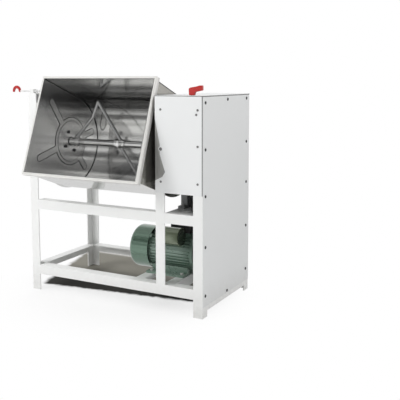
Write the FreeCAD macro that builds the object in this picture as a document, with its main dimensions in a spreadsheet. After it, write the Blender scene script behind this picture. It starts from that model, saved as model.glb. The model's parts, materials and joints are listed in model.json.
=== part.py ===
import FreeCAD, Part
import math
import os
import re

import Sketcher
from FreeCAD import Placement, Rotation, Vector

# Tilting-trough dough mixer, in millimetres. While it is laid out, X runs from the left legs to
# the drive housing, Y from front to back and Z up, from the frame's front left floor corner.
# Each piece is then moved so that the origin is the middle of the whole machine on the floor.
doc = FreeCAD.newDocument("dough_mixer")
sizes = doc.addObject("Spreadsheet::Sheet", "sizes")
places = doc.addObject("Spreadsheet::Sheet", "places")

SIZES = [
    ("frame_width", 1034, "outside of the legs, left to right"),
    ("frame_depth", 536, "outside of the legs, front to back"),
    ("frame_height", 1055, "floor to the top of the legs"),
    ("angle_leg", 50, "width of each flange of the angle steel"),
    ("angle_wall", 5, "thickness of the angle steel"),
    ("lower_rail_top", 138, "top of the lower rails"),
    ("side_rail_top", 80, "top of the low rail under the side cover"),
    ("mid_rail_down", 562, "top of the middle rails below the top of the legs"),
    ("housing_width", 255, "width of the drive housing"),
    ("post_down", 425, "top of the two short housing posts below the top of the legs"),
    ("cover_sheet", 1.5, "sheet of the painted covers"),
    ("front_cover_high", 465, "height of the front cover"),
    ("side_cover_bottom", 55, "lower edge of the side and rear covers"),
    ("notch_start_up", 58, "lower end of the notch above the front cover's lower edge"),
    ("notch_heel_up", 20, "rounded heel above the notch's lower end"),
    ("notch_deep_up", 24, "deepest point above the heel"),
    ("notch_waist_up", 84, "straight part beside the tab screw above the deepest point"),
    ("tab_screw_up", 25, "tab screw above the start of the straight part"),
    ("notch_waist_long", 46, "length of the straight part beside the tab screw"),
    ("notch_slope_long", 121, "height of the slope above the straight part"),
    ("notch_waist_in", 26, "depth of the notch beside the tab screw"),
    ("notch_deep_in", 54, "greatest depth of the notch"),
    ("notch_heel_in", 40, "depth of the notch at its rounded heel"),
    ("tab_radius", 13, "round tab about the notch's own screw"),
    ("channel_sheet", 3, "sheet of the steel channel beside the trough"),
    ("drive_channel", 75, "width of the channel under the countershaft"),
    ("drive_rail_out", 10, "right drive rail over the end of the middle rails"),
    ("axis_from_front", 254, "shaft axis behind the frame's front"),
    ("axis_down", 269, "shaft axis below the top of the legs"),
    ("tilt_forward", 69.5, "tilt of the trough's mouth from upright"),
    ("trough_radius", 253, "inside radius of the drum"),
    ("trough_sheet", 2, "sheet of the trough"),
    ("trough_to_housing", 29, "trough's right end wall to the housing"),
    ("end_wall_sheet", 3, "plate of the trough's ends"),
    ("end_wall_lip", 5, "ends standing proud of the drum"),
    ("rim_face", 12, "width of the folded rim outside the walls"),
    ("rim_skirt", 28, "depth of the folded rim"),
    ("rim_sheet", 1.5, "sheet of the folded rim"),
    ("rim_gap", 8, "rim to the left legs"),
    ("spider_disc", 132, "radius of the spider's disc"),
    ("spider_boss", 113, "radius of the spider's raised middle"),
    ("spider_sheet", 1.5, "height of each step of the spider"),
    ("spider_arm", 36, "width of the spider's arms"),
    ("long_arm_reach", 288, "shaft axis to the tips of the upper arms"),
    ("long_arm_angle", 35, "upper arms from the mouth's direction"),
    ("short_arm_reach", 215, "shaft axis to the tips of the lower arms"),
    ("short_arm_angle", 148, "lower arms from the mouth's direction"),
    ("shaft_radius", 18, "kneading shaft"),
    ("bush_wall", 5, "wall of the shaft's bushes"),
    ("trunnion_wall", 9, "wall of the trunnion tubes"),
    ("hub_radius", 75, "radius of the trunnion's flange"),
    ("hub_thick", 10, "thickness of the trunnion's flange"),
    ("hub_bolt_ring", 58, "radius of the ring of hub bolts"),
    ("seal_wall", 7, "wall of the shaft's seals"),
    ("seal_proud", 4, "seal standing out into the trough"),
    ("running_gap", 0.06, "radial gap of a turning fit"),
    ("seat_gap", 0.05, "radial gap of a seat"),
    ("hole_gap", 0.5, "radial gap of a bolt in its hole"),
    ("pass_gap", 4, "gap about a shaft that passes a wall"),
    ("block_width", 34, "width of a trunnion's pillow block"),
    ("block_radius", 52, "radius of a pillow block's round body"),
    ("block_under", 5, "steel between a pillow block's round body and its rail"),
    ("tube_proud", 2, "trunnion tubes standing out of their pillow blocks"),
    ("shaft_proud", 4, "shafts standing out of what carries them"),
    ("block_foot", 170, "length of a pillow block's foot"),
    ("block_foot_thick", 16, "thickness of a pillow block's foot"),
    ("block_bolt_pitch", 136, "distance between a pillow block's bolts"),
    ("block_from_wall", 8, "pillow block to the steel behind it"),
    ("bolt_radius", 5, "bolts of the bearings, the hubs and the motor"),
    ("bolt_head", 9.2, "corner radius of the bolts' hexagons"),
    ("bolt_head_height", 6.5, "height of the bolts' heads and nuts"),
    ("bolt_tail", 3, "bolt standing out of its nut"),
    ("screw_radius", 2.5, "cover screws"),
    ("screw_hole_gap", 0.2, "radial gap of a cover screw in its hole"),
    ("screw_head", 7.5, "radius of a side screw's round head"),
    ("screw_head_height", 3.5, "height of a side screw's head"),
    ("small_screw_head", 5.5, "radius of a front screw's head"),
    ("small_screw_height", 2.5, "height of a front screw's head"),
    ("tab_screw_head", 8, "radius of the tab screw's head"),
    ("screw_tail", 4, "cover screw standing out behind the steel"),
    ("front_screw_left", 31, "left front screws from the cover's side"),
    ("front_screw_right", 25, "right front screws from the cover's side"),
    ("side_screw_inset", 26.5, "side screws behind the cover's front edge"),
    ("rear_screw_inset", 36, "rear screws from the cover's rear edge"),
    ("screw_up_1", 52, "lowest side screw at the front above the side cover's lower edge"),
    ("screw_up_2", 287, "second side screw at the front above the side cover's lower edge"),
    ("screw_down_3", 470, "third side screw at the front below the top of the legs"),
    ("screw_down_4", 250, "fourth side screw at the front below the top of the legs"),
    ("screw_down_5", 32, "top side screw at the front below the top of the legs"),
    ("rear_up_1", 65, "lowest screw at the rear above the side cover's lower edge"),
    ("rear_up_2", 302, "second screw at the rear above the side cover's lower edge"),
    ("rear_down_3", 463, "third screw at the rear below the top of the legs"),
    ("rear_down_4", 249, "fourth screw at the rear below the top of the legs"),
    ("rear_down_5", 22, "top screws at the rear below the top of the legs"),
    ("front_low_screw", 54, "lowest front screws above the front cover's lower edge"),
    ("front_mid_up", 230, "middle front screw above the front cover's lower edge"),
    ("front_top_down", 66, "top front screws below the top of the legs"),
    ("front_extra_drop", 21, "extra front screw below the top one"),
    ("front_extra_in", 7, "extra front screw inside the top one"),
    ("bottom_screw_up", 11, "bottom side screw above the cover's edge"),
    ("collar_radius", 24, "clamp collars on the kneading shaft"),
    ("collar_width", 64, "width of a clamp collar"),
    ("collar_from_end", 8, "outer collars to the trough's end walls"),
    ("clamp_ear_width", 22, "width of a collar's clamp ears"),
    ("clamp_ear_height", 39, "shaft axis to the end of the clamp ears"),
    ("clamp_bolt_edge", 9, "clamp bolts from the end of the ears"),
    ("clamp_bolt_proud", 8, "clamp bolts standing out of the ears"),
    ("clamp_head", 7.2, "corner radius of the clamp bolts' hexagons"),
    ("clamp_head_height", 5, "height of the clamp bolts' heads and nuts"),
    ("clamp_ear_thick", 18, "thickness of the clamp ears"),
    ("clamp_bolt", 4, "radius of the collars' clamp bolts"),
    ("bar_radius", 9.5, "round bar of the paddle"),
    ("bar_sunk", 6, "paddle bars let into their collars"),
    ("bar_bend_out", 136, "paddle bar's bend from the shaft axis"),
    ("bar_bend_along", 114, "paddle bar's bend from its outer collar"),
    ("bar_peak_out", 222, "paddle bar's peak from the shaft axis"),
    ("bar_peak_along", 152, "paddle bar's peak from its outer collar"),
    ("tooth_module", 3, "module of the gear teeth"),
    ("gear_teeth", 103, "teeth of the main gear"),
    ("pinion_teeth", 17, "teeth of the pinion"),
    ("gear_face", 24, "width of the main gear"),
    ("gear_rim", 14, "toothed rim of the main gear below its pitch circle"),
    ("gear_web", 10, "thickness of the main gear's web"),
    ("gear_boss_proud", 4, "main gear's boss standing out of its face"),
    ("pinion_extra", 2, "pinion wider than the main gear"),
    ("gear_backlash", 0.4, "play between the teeth"),
    ("gear_boss", 34, "radius of the main gear's boss"),
    ("counter_forward", 60, "countershaft in front of the kneading shaft"),
    ("counter_radius", 12.5, "radius of the countershaft"),
    ("pedestal_width", 35, "width of a countershaft bearing"),
    ("pedestal_radius", 32, "radius of its round head"),
    ("pedestal_column", 60, "width of its column"),
    ("pedestal_foot", 124, "length of its foot"),
    ("pedestal_foot_thick", 12, "thickness of its foot"),
    ("pedestal_bolt_pitch", 96, "distance between its foot bolts"),
    ("gear_gap", 7, "main gear from the left bearing"),
    ("pulley_gap", 8, "driven pulley from the main gear"),
    ("bearing_gap", 6, "right bearing from the driven pulley"),
    ("large_pulley", 110, "radius of the driven pulley"),
    ("small_pulley", 40, "radius of the motor's pulley"),
    ("pulley_land", 4, "flat land beside each belt groove"),
    ("groove_top", 13, "width of a belt groove at the rim"),
    ("groove_floor", 8, "width of a belt groove at its floor"),
    ("groove_depth", 11, "depth of a belt groove"),
    ("belt_gap", 0.4, "belt to its groove"),
    ("belt_sunk", 1, "belt below the pulley's rim"),
    ("motor_height", 112, "motor's shaft above its feet"),
    ("motor_barrel", 90, "radius of the motor's barrel"),
    ("motor_barrel_wall", 10, "wall of the motor's barrel"),
    ("motor_fin", 10, "height of the cooling fins"),
    ("motor_fin_thick", 3, "thickness of the cooling fins"),
    ("motor_fin_sunk", 3, "cooling fins let into the barrel"),
    ("motor_fins", 36, "cooling fins around the barrel"),
    ("barrel_length", 225, "length of the motor's barrel"),
    ("bell_thick", 18, "thickness of the motor's end bells"),
    ("bell_lip", 4, "end bells wider than the barrel"),
    ("motor_to_pulley", 12, "motor's end bell to its pulley"),
    ("motor_shaft_radius", 14, "motor shaft"),
    ("rotor_radius", 48, "rotor core"),
    ("rotor_gap", 0.5, "air gap of the motor"),
    ("core_inset", 35, "stator and rotor cores from the barrel's ends"),
    ("cowl_radius", 111, "fan cowl"),
    ("cowl_wall", 1.5, "sheet of the fan cowl"),
    ("cowl_length", 116, "length of the fan cowl"),
    ("cowl_overlap", 8, "cowl over the fan-side end bell"),
    ("cowl_round", 26, "rounding of the cowl's closed end"),
    ("cowl_intake", 62, "radius of the cowl's air intake"),
    ("intake_pitch", 16, "distance between the intake's slots"),
    ("intake_slot", 8, "width of the intake's slots and spokes"),
    ("fan_radius", 93, "cooling fan"),
    ("fan_length", 40, "length of the cooling fan's blades"),
    ("fan_blade_sunk", 4, "fan's blades let into its hub"),
    ("fan_blade", 2.5, "thickness of the fan's blades"),
    ("fan_blades", 7, "blades of the fan"),
    ("fan_hub", 24, "radius of the fan's hub"),
    ("fan_plate", 2, "thickness of the fan's back plate"),
    ("cowl_lug", 20, "width of the lugs that carry the cowl"),
    ("fan_to_bell", 8, "fan to the end bell"),
    ("foot_pitch_along", 178, "motor foot bolts, along the shaft"),
    ("foot_pitch_across", 190, "motor foot bolts, across the shaft"),
    ("foot_width", 46, "width of a motor foot"),
    ("foot_thick", 12, "thickness of a motor foot"),
    ("foot_web", 24, "thickness of the foot's upright web"),
    ("foot_web_high", 42, "height of the foot's upright web"),
    ("foot_web_lap", 3, "web over the foot's inner edge"),
    ("foot_overhang", 20, "foot beyond its bolts"),
    ("foot_inset", 18, "foot's end from the barrel's end"),
    ("capacitor_radius", 46, "motor's start capacitor case"),
    ("capacitor_length", 125, "length of the capacitor case"),
    ("capacitor_inset", 35, "capacitor's end from the barrel's end"),
    ("capacitor_tip", 2, "end cap standing out of the capacitor"),
    ("capacitor_tip_in", 4, "end cap inside the capacitor's edge"),
    ("capacitor_forward", 104, "capacitor in front of the motor's shaft"),
    ("capacitor_up", 94, "capacitor above the motor's shaft"),
    ("terminal_left", 97, "terminal box from the barrel's left end"),
    ("terminal_long", 112, "length of the terminal box"),
    ("terminal_wide", 96, "width of the terminal box"),
    ("terminal_high", 52, "height of the terminal box"),
    ("terminal_lid", 10, "height of the terminal box's lid"),
    ("terminal_lid_in", 2, "terminal box's lid inside its edge"),
    ("terminal_up", 102, "terminal box above the motor's shaft"),
    ("terminal_pad", 6, "terminal box's pad inside its edge"),
    ("saddle_width", 26, "width of the capacitor's saddle"),
    ("saddle_inset", 22, "saddle's ends from the capacitor's ends"),
    ("switch_from_side", 64, "switch stem from the housing's right side"),
    ("switch_from_front", 24, "switch stem from the housing's front"),
    ("switch_case_long", 56, "switch case, left to right"),
    ("switch_case_deep", 36, "switch case, front to back"),
    ("switch_case_high", 80, "switch case, top to bottom"),
    ("switch_spindle", 5, "radius of the switch's spindle"),
    ("spindle_proud", 15, "spindle above the top cover"),
    ("lever_stem", 14, "radius of the red lever's stem"),
    ("lever_stem_high", 38, "height of the red lever's stem"),
    ("lever_bar_long", 68, "length of the red lever's bar"),
    ("lever_bar_deep", 20, "width of the red lever's bar"),
    ("lever_bar_high", 22, "height of the red lever's bar"),
    ("lever_rise", 8, "slope of the red lever's bar"),
    ("lever_gap", 0.5, "red lever above the top cover"),
    ("lock_from_front", 23, "lock pin behind the frame's front"),
    ("lock_pin_radius", 4.5, "lock pin"),
    ("lock_base", 46, "side of the lock bracket's foot"),
    ("lock_base_thick", 3, "thickness of the lock bracket's foot"),
    ("lock_guide_width", 20, "length of the lock pin's guide"),
    ("lock_guide_deep", 24, "width of the lock pin's guide"),
    ("lock_guide_wall", 6, "guide above and below the pin"),
    ("lock_guide_in", 4, "guide from the leg's outer face"),
    ("lock_collar", 8.5, "radius of the lock pin's collar"),
    ("lock_collar_width", 4, "width of the lock pin's collar"),
    ("lock_collar_back", 16, "collar to the pin's tip"),
    ("lock_reach", 78, "lock pin beyond the leg's outer face"),
    ("lock_tip_gap", 0.3, "lock pin's tip to the trough's rim"),
    ("lock_skirt_gap", 1, "lock pin below the rim's skirt when the trough stands upright"),
    ("grip_bend", 21, "bend radius of the red grip"),
    ("grip_radius", 8, "thickness of the red grip"),
    ("lock_plate_side", 56, "side of the lock plate on the trough"),
    ("lock_plate_thick", 6, "thickness of the lock plate"),
    ("lock_plate_edge", 14, "hole of the lock plate from its upper edge"),
    ("lock_plate_side_edge", 18, "hole of the lock plate from its outer edge"),
    ("lock_hole_gap", 0.8, "lock pin in the lock plate's hole"),
]

PLACES = [
    ("housing_left", "frame_width - housing_width"),
    ("inner_depth", "frame_depth - 2 * angle_leg"),
    ("mid_rail_top", "frame_height - mid_rail_down"),
    ("post_top", "frame_height - post_down"),
    ("axis_height", "frame_height - axis_down"),
    ("lock_axis_height", "frame_height + lock_base_thick + lock_pin_radius + lock_guide_wall"),
    ("lock_hole_up", "lock_axis_height - axis_height"),
    ("mouth_height", "lock_hole_up + lock_pin_radius + lock_skirt_gap + rim_skirt"),
    ("front_cover_bottom", "frame_height - front_cover_high"),
    ("notch_bottom", "front_cover_bottom + notch_start_up"),
    ("notch_heel_height", "notch_bottom + notch_heel_up"),
    ("notch_deep_height", "notch_heel_height + notch_deep_up"),
    ("notch_waist_low", "notch_deep_height + notch_waist_up"),
    ("tab_screw_height", "notch_waist_low + tab_screw_up"),
    ("notch_waist_top", "notch_waist_low + notch_waist_long"),
    ("notch_top", "notch_waist_top + notch_slope_long"),
    ("front_row_low", "front_cover_bottom + front_low_screw"),
    ("front_row_middle", "front_cover_bottom + front_mid_up"),
    ("front_row_top", "frame_height - front_top_down"),
    ("screw_row_1", "side_cover_bottom + screw_up_1"),
    ("screw_row_2", "side_cover_bottom + screw_up_2"),
    ("screw_row_3", "frame_height - screw_down_3"),
    ("screw_row_4", "frame_height - screw_down_4"),
    ("screw_row_5", "frame_height - screw_down_5"),
    ("rear_row_1", "side_cover_bottom + rear_up_1"),
    ("rear_row_2", "side_cover_bottom + rear_up_2"),
    ("rear_row_3", "frame_height - rear_down_3"),
    ("rear_row_4", "frame_height - rear_down_4"),
    ("rear_row_5", "frame_height - rear_down_5"),
    ("rim_left", "angle_leg + rim_gap"),
    ("wall_left", "rim_left + rim_face"),
    ("drum_left", "wall_left + end_wall_sheet"),
    ("wall_right", "housing_left - trough_to_housing"),
    ("drum_right", "wall_right - end_wall_sheet"),
    ("trough_length", "drum_right - drum_left"),
    ("trough_middle", "(drum_left + drum_right) / 2"),
    ("drum_outside", "trough_radius + trough_sheet"),
    ("end_wall_radius", "drum_outside + end_wall_lip"),
    ("rim_half", "drum_outside + rim_face"),
    ("spider_face", "drum_left + 2 * spider_sheet"),
    ("bush_radius", "shaft_radius + bush_wall"),
    ("trunnion_radius", "bush_radius + trunnion_wall"),
    ("seal_radius", "shaft_radius + seal_wall"),
    ("trunnion_start", "block_from_wall - tube_proud"),
    ("block_height", "block_radius + block_under"),
    ("bearing_rail_top", "axis_height - block_height"),
    ("channel_inside", "housing_left + channel_sheet"),
    ("right_block_start", "channel_inside + block_from_wall"),
    ("hub_bolt_offset", "hub_bolt_ring * sqrt(0.5)"),
    ("drive_rail_left", "housing_left + angle_leg"),
    ("drive_rail_right", "frame_width - angle_leg"),
    ("centre_distance", "tooth_module * (gear_teeth + pinion_teeth) / 2"),
    ("counter_drop", "sqrt(centre_distance ^ 2 - counter_forward ^ 2)"),
    ("counter_across", "axis_from_front - counter_forward"),
    ("counter_height", "axis_height - counter_drop"),
    ("pulley_width", "3 * pulley_land + 2 * groove_top"),
    ("pedestal_left", "drive_rail_left"),
    ("gear_left", "pedestal_left + pedestal_width + gear_gap"),
    ("pulley_left", "gear_left + gear_face + pulley_gap"),
    ("pedestal_right", "pulley_left + pulley_width + bearing_gap"),
    ("counter_left", "pedestal_left - shaft_proud"),
    ("counter_right", "pedestal_right + pedestal_width + shaft_proud"),
    ("motor_axis_height", "lower_rail_top + motor_height"),
    ("motor_right", "pulley_left - motor_to_pulley"),
    ("barrel_right", "motor_right - bell_thick"),
    ("barrel_left", "barrel_right - barrel_length"),
    ("bell_left", "barrel_left - bell_thick"),
    ("cowl_right", "bell_left + cowl_overlap"),
    ("cowl_left", "cowl_right - cowl_length"),
    ("fan_right", "bell_left - fan_to_bell"),
    ("fan_left", "fan_right - fan_length"),
    ("foot_right", "barrel_right - foot_inset"),
    ("foot_bolt_right", "foot_right - foot_overhang"),
    ("foot_bolt_left", "foot_bolt_right - foot_pitch_along"),
    ("foot_left", "foot_bolt_left - foot_overhang"),
    ("capacitor_left", "barrel_right - capacitor_inset - capacitor_length"),
    ("terminal_start", "barrel_left + terminal_left"),
    ("terminal_base", "motor_axis_height + terminal_up"),
    ("switch_x", "frame_width - switch_from_side"),
    ("lock_tip", "rim_left - lock_tip_gap"),
    ("lock_collar_left", "lock_tip - lock_collar_back - lock_collar_width"),
    ("lock_hole_forward", "axis_from_front - lock_from_front"),
    ("collar_left_middle", "drum_left + collar_from_end + collar_width / 2"),
    ("grip_left", "-lock_reach - 2 * grip_bend - grip_radius"),
    ("machine_right", "frame_width + cover_sheet + screw_head_height"),
    ("machine_back", "frame_depth + cover_sheet + screw_head_height"),
    ("machine_front",
     "axis_from_front - mouth_height * sin(tilt_forward) - rim_half * cos(tilt_forward)"),
    ("origin_x", "(grip_left + machine_right) / 2"),
    ("origin_y", "(machine_front + machine_back) / 2"),
]

SHEET_OF = {name: "sizes" for name, value, note in SIZES}
SHEET_OF.update({name: "places" for name, formula in PLACES})


def link(text):
    """The formula with the sheet written in front of each named value."""
    return re.sub(r"[a-z][a-z_0-9]*", lambda word: (
        SHEET_OF[word.group()] + "." + word.group() if word.group() in SHEET_OF else word.group()), text)


for row, (name, value, note) in enumerate(SIZES, start=1):
    sizes.set(f"A{row}", note)
    sizes.set(f"B{row}", str(value))
    sizes.setAlias(f"B{row}", name)
doc.recompute()
for row, (name, formula) in enumerate(PLACES, start=1):
    places.set(f"A{row}", name.replace("_", " "))
    places.set(f"B{row}", "=" + link(formula))
    places.setAlias(f"B{row}", name)
    doc.recompute()


def number(name):
    """A named value as a plain number."""
    return float(getattr(sizes if SHEET_OF[name] == "sizes" else places, name))


def amount(formula):
    """The number that a sum or difference of named values comes to."""
    total = 0
    sign = 1
    for word in formula.split():
        if word in ("+", "-"):
            sign = 1 if word == "+" else -1
        else:
            total += sign * (number(word) if word in SHEET_OF else float(word))
    return total


def bind(item, prop, formula):
    item.setExpression(prop, link(formula))


TURN = {
    "Z": Rotation(),
    "X": Rotation(Vector(0, 1, 0), 90),
    "Y": Rotation(Vector(1, 0, 0), -90),
    "-Y": Rotation(Vector(1, 0, 0), 90),
    "-X": Rotation(Vector(0, 1, 0), -90),
}
nodes = []


def put(item, x, y, z, turn=None):
    """Place an item at a formula for each coordinate."""
    if turn is not None:
        item.Placement = Placement(Vector(), turn)
    for prop, formula in (("x", x), ("y", y), ("z", z)):
        bind(item, "Placement.Base." + prop, formula)
    return item


def block(x, y, z, length, width, height):
    """A rectangular block from its lowest corner."""
    item = doc.addObject("Part::Box", "block")
    for prop, formula in (("Length", length), ("Width", width), ("Height", height)):
        bind(item, prop, formula)
    return put(item, x, y, z)


def rod(along, x, y, z, radius, length):
    """A round bar from the middle of its first face, along an axis."""
    item = doc.addObject("Part::Cylinder", "rod")
    bind(item, "Radius", radius)
    bind(item, "Height", length)
    return put(item, x, y, z, TURN[along])


def cone(along, x, y, z, first, last, length):
    item = doc.addObject("Part::Cone", "cone")
    bind(item, "Radius1", first)
    bind(item, "Radius2", last)
    bind(item, "Height", length)
    return put(item, x, y, z, TURN[along])


def ball(x, y, z, radius):
    item = doc.addObject("Part::Sphere", "ball")
    bind(item, "Radius", radius)
    return put(item, x, y, z)


def hexagon(along, x, y, z, radius, length):
    item = doc.addObject("Part::Prism", "hexagon")
    item.Polygon = 6
    bind(item, "Circumradius", radius)
    bind(item, "Height", length)
    return put(item, x, y, z, TURN[along])


def fuse(*items):
    if len(items) == 1:
        return items[0]
    item = doc.addObject("Part::MultiFuse", "joined")
    item.Shapes = list(items)
    return item


def cut(base, *tools):
    item = doc.addObject("Part::Cut", "cut")
    item.Base = base
    item.Tool = fuse(*tools)
    return item


def group(items):
    item = doc.addObject("Part::Compound", "group")
    item.Links = list(items)
    return item


def mirrored(item):
    """The same piece at the trough's other end."""
    twin = doc.addObject("Part::Mirroring", "twin")
    twin.Source = item
    twin.Normal = Vector(1, 0, 0)
    bind(twin, "Base.x", "trough_middle")
    return group([twin])


def unplaced(item):
    """The item itself, or wrapped where it already has a place of its own."""
    has_place = any(path.lstrip(".").startswith("Placement") for path, formula in item.ExpressionEngine)
    return group([item]) if has_place else item


def node(label, item):
    """Name a finished piece of the frame's side and move it to the machine's origin."""
    item = unplaced(item)
    item.Label = label
    put(item, "-origin_x", "-origin_y", "0")
    nodes.append(item)
    return item


def trough_node(label, item):
    """Name a finished piece that was drawn with the mouth up and the shaft axis at Y 0, Z 0."""
    item = unplaced(item)
    item.Label = label
    put(item, "-origin_x", "axis_from_front - origin_y", "axis_height", Rotation(Vector(1, 0, 0), 1))
    bind(item, "Placement.Rotation.Angle", "tilt_forward")
    nodes.append(item)
    return item


def body_plane(body, role):
    return [item for item in body.Origin.OriginFeatures if item.Role == role][0]


def joined_ends(first, second):
    """The end of one line on the start of the next."""
    return Sketcher.Constraint("Coincident", first, 2, second, 1)


def outline_sketch(body, label, points):
    """A closed straight-sided sketch on the body's XY plane, each corner at two named values."""
    sketch = body.newObject("Sketcher::SketchObject", label)
    sketch.AttachmentSupport = [(body_plane(body, "XY_Plane"), "")]
    sketch.MapMode = "FlatFace"
    spots = [Vector(amount(point[0]), amount(point[1]), 0) for point in points]
    for corner, spot in enumerate(spots):
        sketch.addGeometry(Part.LineSegment(spot, spots[(corner + 1) % len(spots)]))
    for corner in range(len(spots)):
        sketch.addConstraint(joined_ends(corner, (corner + 1) % len(spots)))
    for corner, point in enumerate(points):
        for kind, axis, name in (("DistanceX", -2, point[0]), ("DistanceY", -1, point[1])):
            if name == "0":
                sketch.addConstraint(Sketcher.Constraint("PointOnObject", corner, 1, axis))
                continue
            row = sketch.addConstraint(Sketcher.Constraint(kind, -1, 1, corner, 1, amount(name)))
            sketch.setExpression(f"Constraints[{row}]", link(name))
    return sketch


def padded(label, sketch_points, length):
    body = doc.addObject("PartDesign::Body", label)
    sketch = outline_sketch(body, label + "_outline", sketch_points)
    pad = body.newObject("PartDesign::Pad", label + "_pad")
    pad.Profile = sketch
    bind(pad, "Length", length)
    return body


# Angle steel: an L section drawn at the body's origin and padded to its length. The two flanges
# point the two named ways from the heel, and the bar runs along their cross product.
WAY = {"+X": Vector(1, 0, 0), "-X": Vector(-1, 0, 0), "+Y": Vector(0, 1, 0), "-Y": Vector(0, -1, 0),
       "+Z": Vector(0, 0, 1), "-Z": Vector(0, 0, -1)}
ANGLE_SECTION = [("0", "0"), ("angle_leg", "0"), ("angle_leg", "angle_wall"), ("angle_wall", "angle_wall"),
                 ("angle_wall", "angle_leg"), ("0", "angle_leg")]


def angle_bar(label, x, y, z, first_flange, second_flange, length):
    body = padded(label + "_bar", ANGLE_SECTION, length)
    along = WAY[first_flange].cross(WAY[second_flange])
    return put(body, x, y, z, Rotation(WAY[first_flange], WAY[second_flange], along, "XYZ"))


def drilled(item, holes):
    return cut(item, *holes) if holes else item


# Screws and bolts. Each one also leaves the holes that it needs in the pieces that it passes.
holes = {}


def hole(targets, tool):
    for target in targets:
        holes.setdefault(target, []).append(tool)


def cover_screw(along, x, y, z, head, head_height, targets):
    """A screw through a cover and the steel behind it. Along points into the machine."""
    outward = {"Y": ("0", "-1"), "-X": ("1", "0"), "-Y": ("0", "1")}[along]
    seat = (f"{x} + ({outward[0]}) * cover_sheet", f"{y} + ({outward[1]}) * cover_sheet", z)
    start = (f"{x} + ({outward[0]}) * (cover_sheet + {head_height})",
             f"{y} + ({outward[1]}) * (cover_sheet + {head_height})", z)
    tail = "cover_sheet + angle_wall + screw_tail"
    hole(targets, rod(along, *seat, "screw_radius + screw_hole_gap", tail))
    rim = cone(along, *start, f"0.6 * {head}", head, f"0.5 * {head_height}")
    middle = tuple(part.replace(f"(cover_sheet + {head_height})", f"(cover_sheet + 0.5 * {head_height})")
                   for part in start)
    dome = rod(along, *middle, head, f"0.5 * {head_height}")
    return fuse(rim, dome, rod(along, *seat, "screw_radius", tail))


front_screws = [cover_screw("Y", "housing_left + front_screw_left", "0", "tab_screw_height",
                            "tab_screw_head", "small_screw_height", ["front_cover", "channel"])]
for target, x, z in (
        ("channel", "housing_left + front_screw_left", "front_row_top"),
        ("channel", "housing_left + front_screw_left", "front_row_low"),
        ("leg_front_right", "frame_width - front_screw_right", "front_row_top"),
        ("leg_front_right", "frame_width - front_screw_right - front_extra_in",
         "front_row_top - front_extra_drop"),
        ("leg_front_right", "frame_width - front_screw_right", "front_row_middle"),
        ("leg_front_right", "frame_width - front_screw_right", "front_row_low")):
    front_screws.append(cover_screw("Y", x, "0", z, "small_screw_head", "small_screw_height",
                                    ["front_cover", target]))
node("front_cover_screws", group(front_screws))

dark_screws = []
for target, y, rows in (("leg_front_right", "side_screw_inset", "screw_row"),
                        ("leg_rear_right", "frame_depth - rear_screw_inset", "rear_row")):
    for row in range(1, 6):
        dark_screws.append(cover_screw("-X", "frame_width", y, f"{rows}_{row}", "screw_head",
                                       "screw_head_height", ["side_cover", target]))
for target, z in (("top_rail_right", "rear_row_5"),
                  ("lower_rail_right", "side_cover_bottom + bottom_screw_up")):
    dark_screws.append(cover_screw("-X", "frame_width", "frame_depth / 2", z, "screw_head",
                                   "screw_head_height", ["side_cover", target]))
for row in range(2, 6):
    post_or_channel = "channel" if row > 3 else "post_rear"
    for target, x in (("leg_rear_right", "frame_width - side_screw_inset"),
                      (post_or_channel, "housing_left + side_screw_inset")):
        dark_screws.append(cover_screw("-Y", x, "frame_depth", f"rear_row_{row}", "screw_head",
                                       "screw_head_height", ["rear_cover", target]))
node("dark_cover_screws", group(dark_screws))

mounting_bolts = []


def mounting_bolt(x, y, seat, grip, targets):
    """A hexagon bolt down through a foot and a rail, with its nut below."""
    through = f"{grip} + bolt_head_height + bolt_tail"
    hole(targets, rod("Z", x, y, f"{seat} - ({through})", "bolt_radius + hole_gap", f"{through} + 0.01"))
    mounting_bolts.append(fuse(
        hexagon("Z", x, y, seat, "bolt_head", "bolt_head_height"),
        rod("Z", x, y, f"{seat} - ({through})", "bolt_radius", through),
        hexagon("Z", x, y, f"{seat} - ({grip}) - bolt_head_height", "bolt_head", "bolt_head_height")))


for side, x in (("left", "block_from_wall + block_width / 2"),
                ("right", "right_block_start + block_width / 2")):
    for sign in ("-", "+"):
        mounting_bolt(x, f"axis_from_front {sign} block_bolt_pitch / 2",
                      "bearing_rail_top + block_foot_thick", "block_foot_thick + angle_wall",
                      [f"pillow_{side}", f"bearing_rail_{side}"])
for side in ("left", "right"):
    for sign in ("-", "+"):
        mounting_bolt(f"pedestal_{side} + pedestal_width / 2",
                      f"counter_across {sign} pedestal_bolt_pitch / 2",
                      "mid_rail_top + pedestal_foot_thick", "pedestal_foot_thick + angle_wall",
                      [f"pedestal_{side}", f"drive_rail_{side}"])
for side in ("left", "right"):
    for sign in ("-", "+"):
        mounting_bolt(f"foot_bolt_{side}", f"axis_from_front {sign} foot_pitch_across / 2",
                      "lower_rail_top + foot_thick", "foot_thick + angle_wall",
                      ["motor_frame", f"motor_rail_{side}"])
node("mounting_bolts", group(mounting_bolts))

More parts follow.
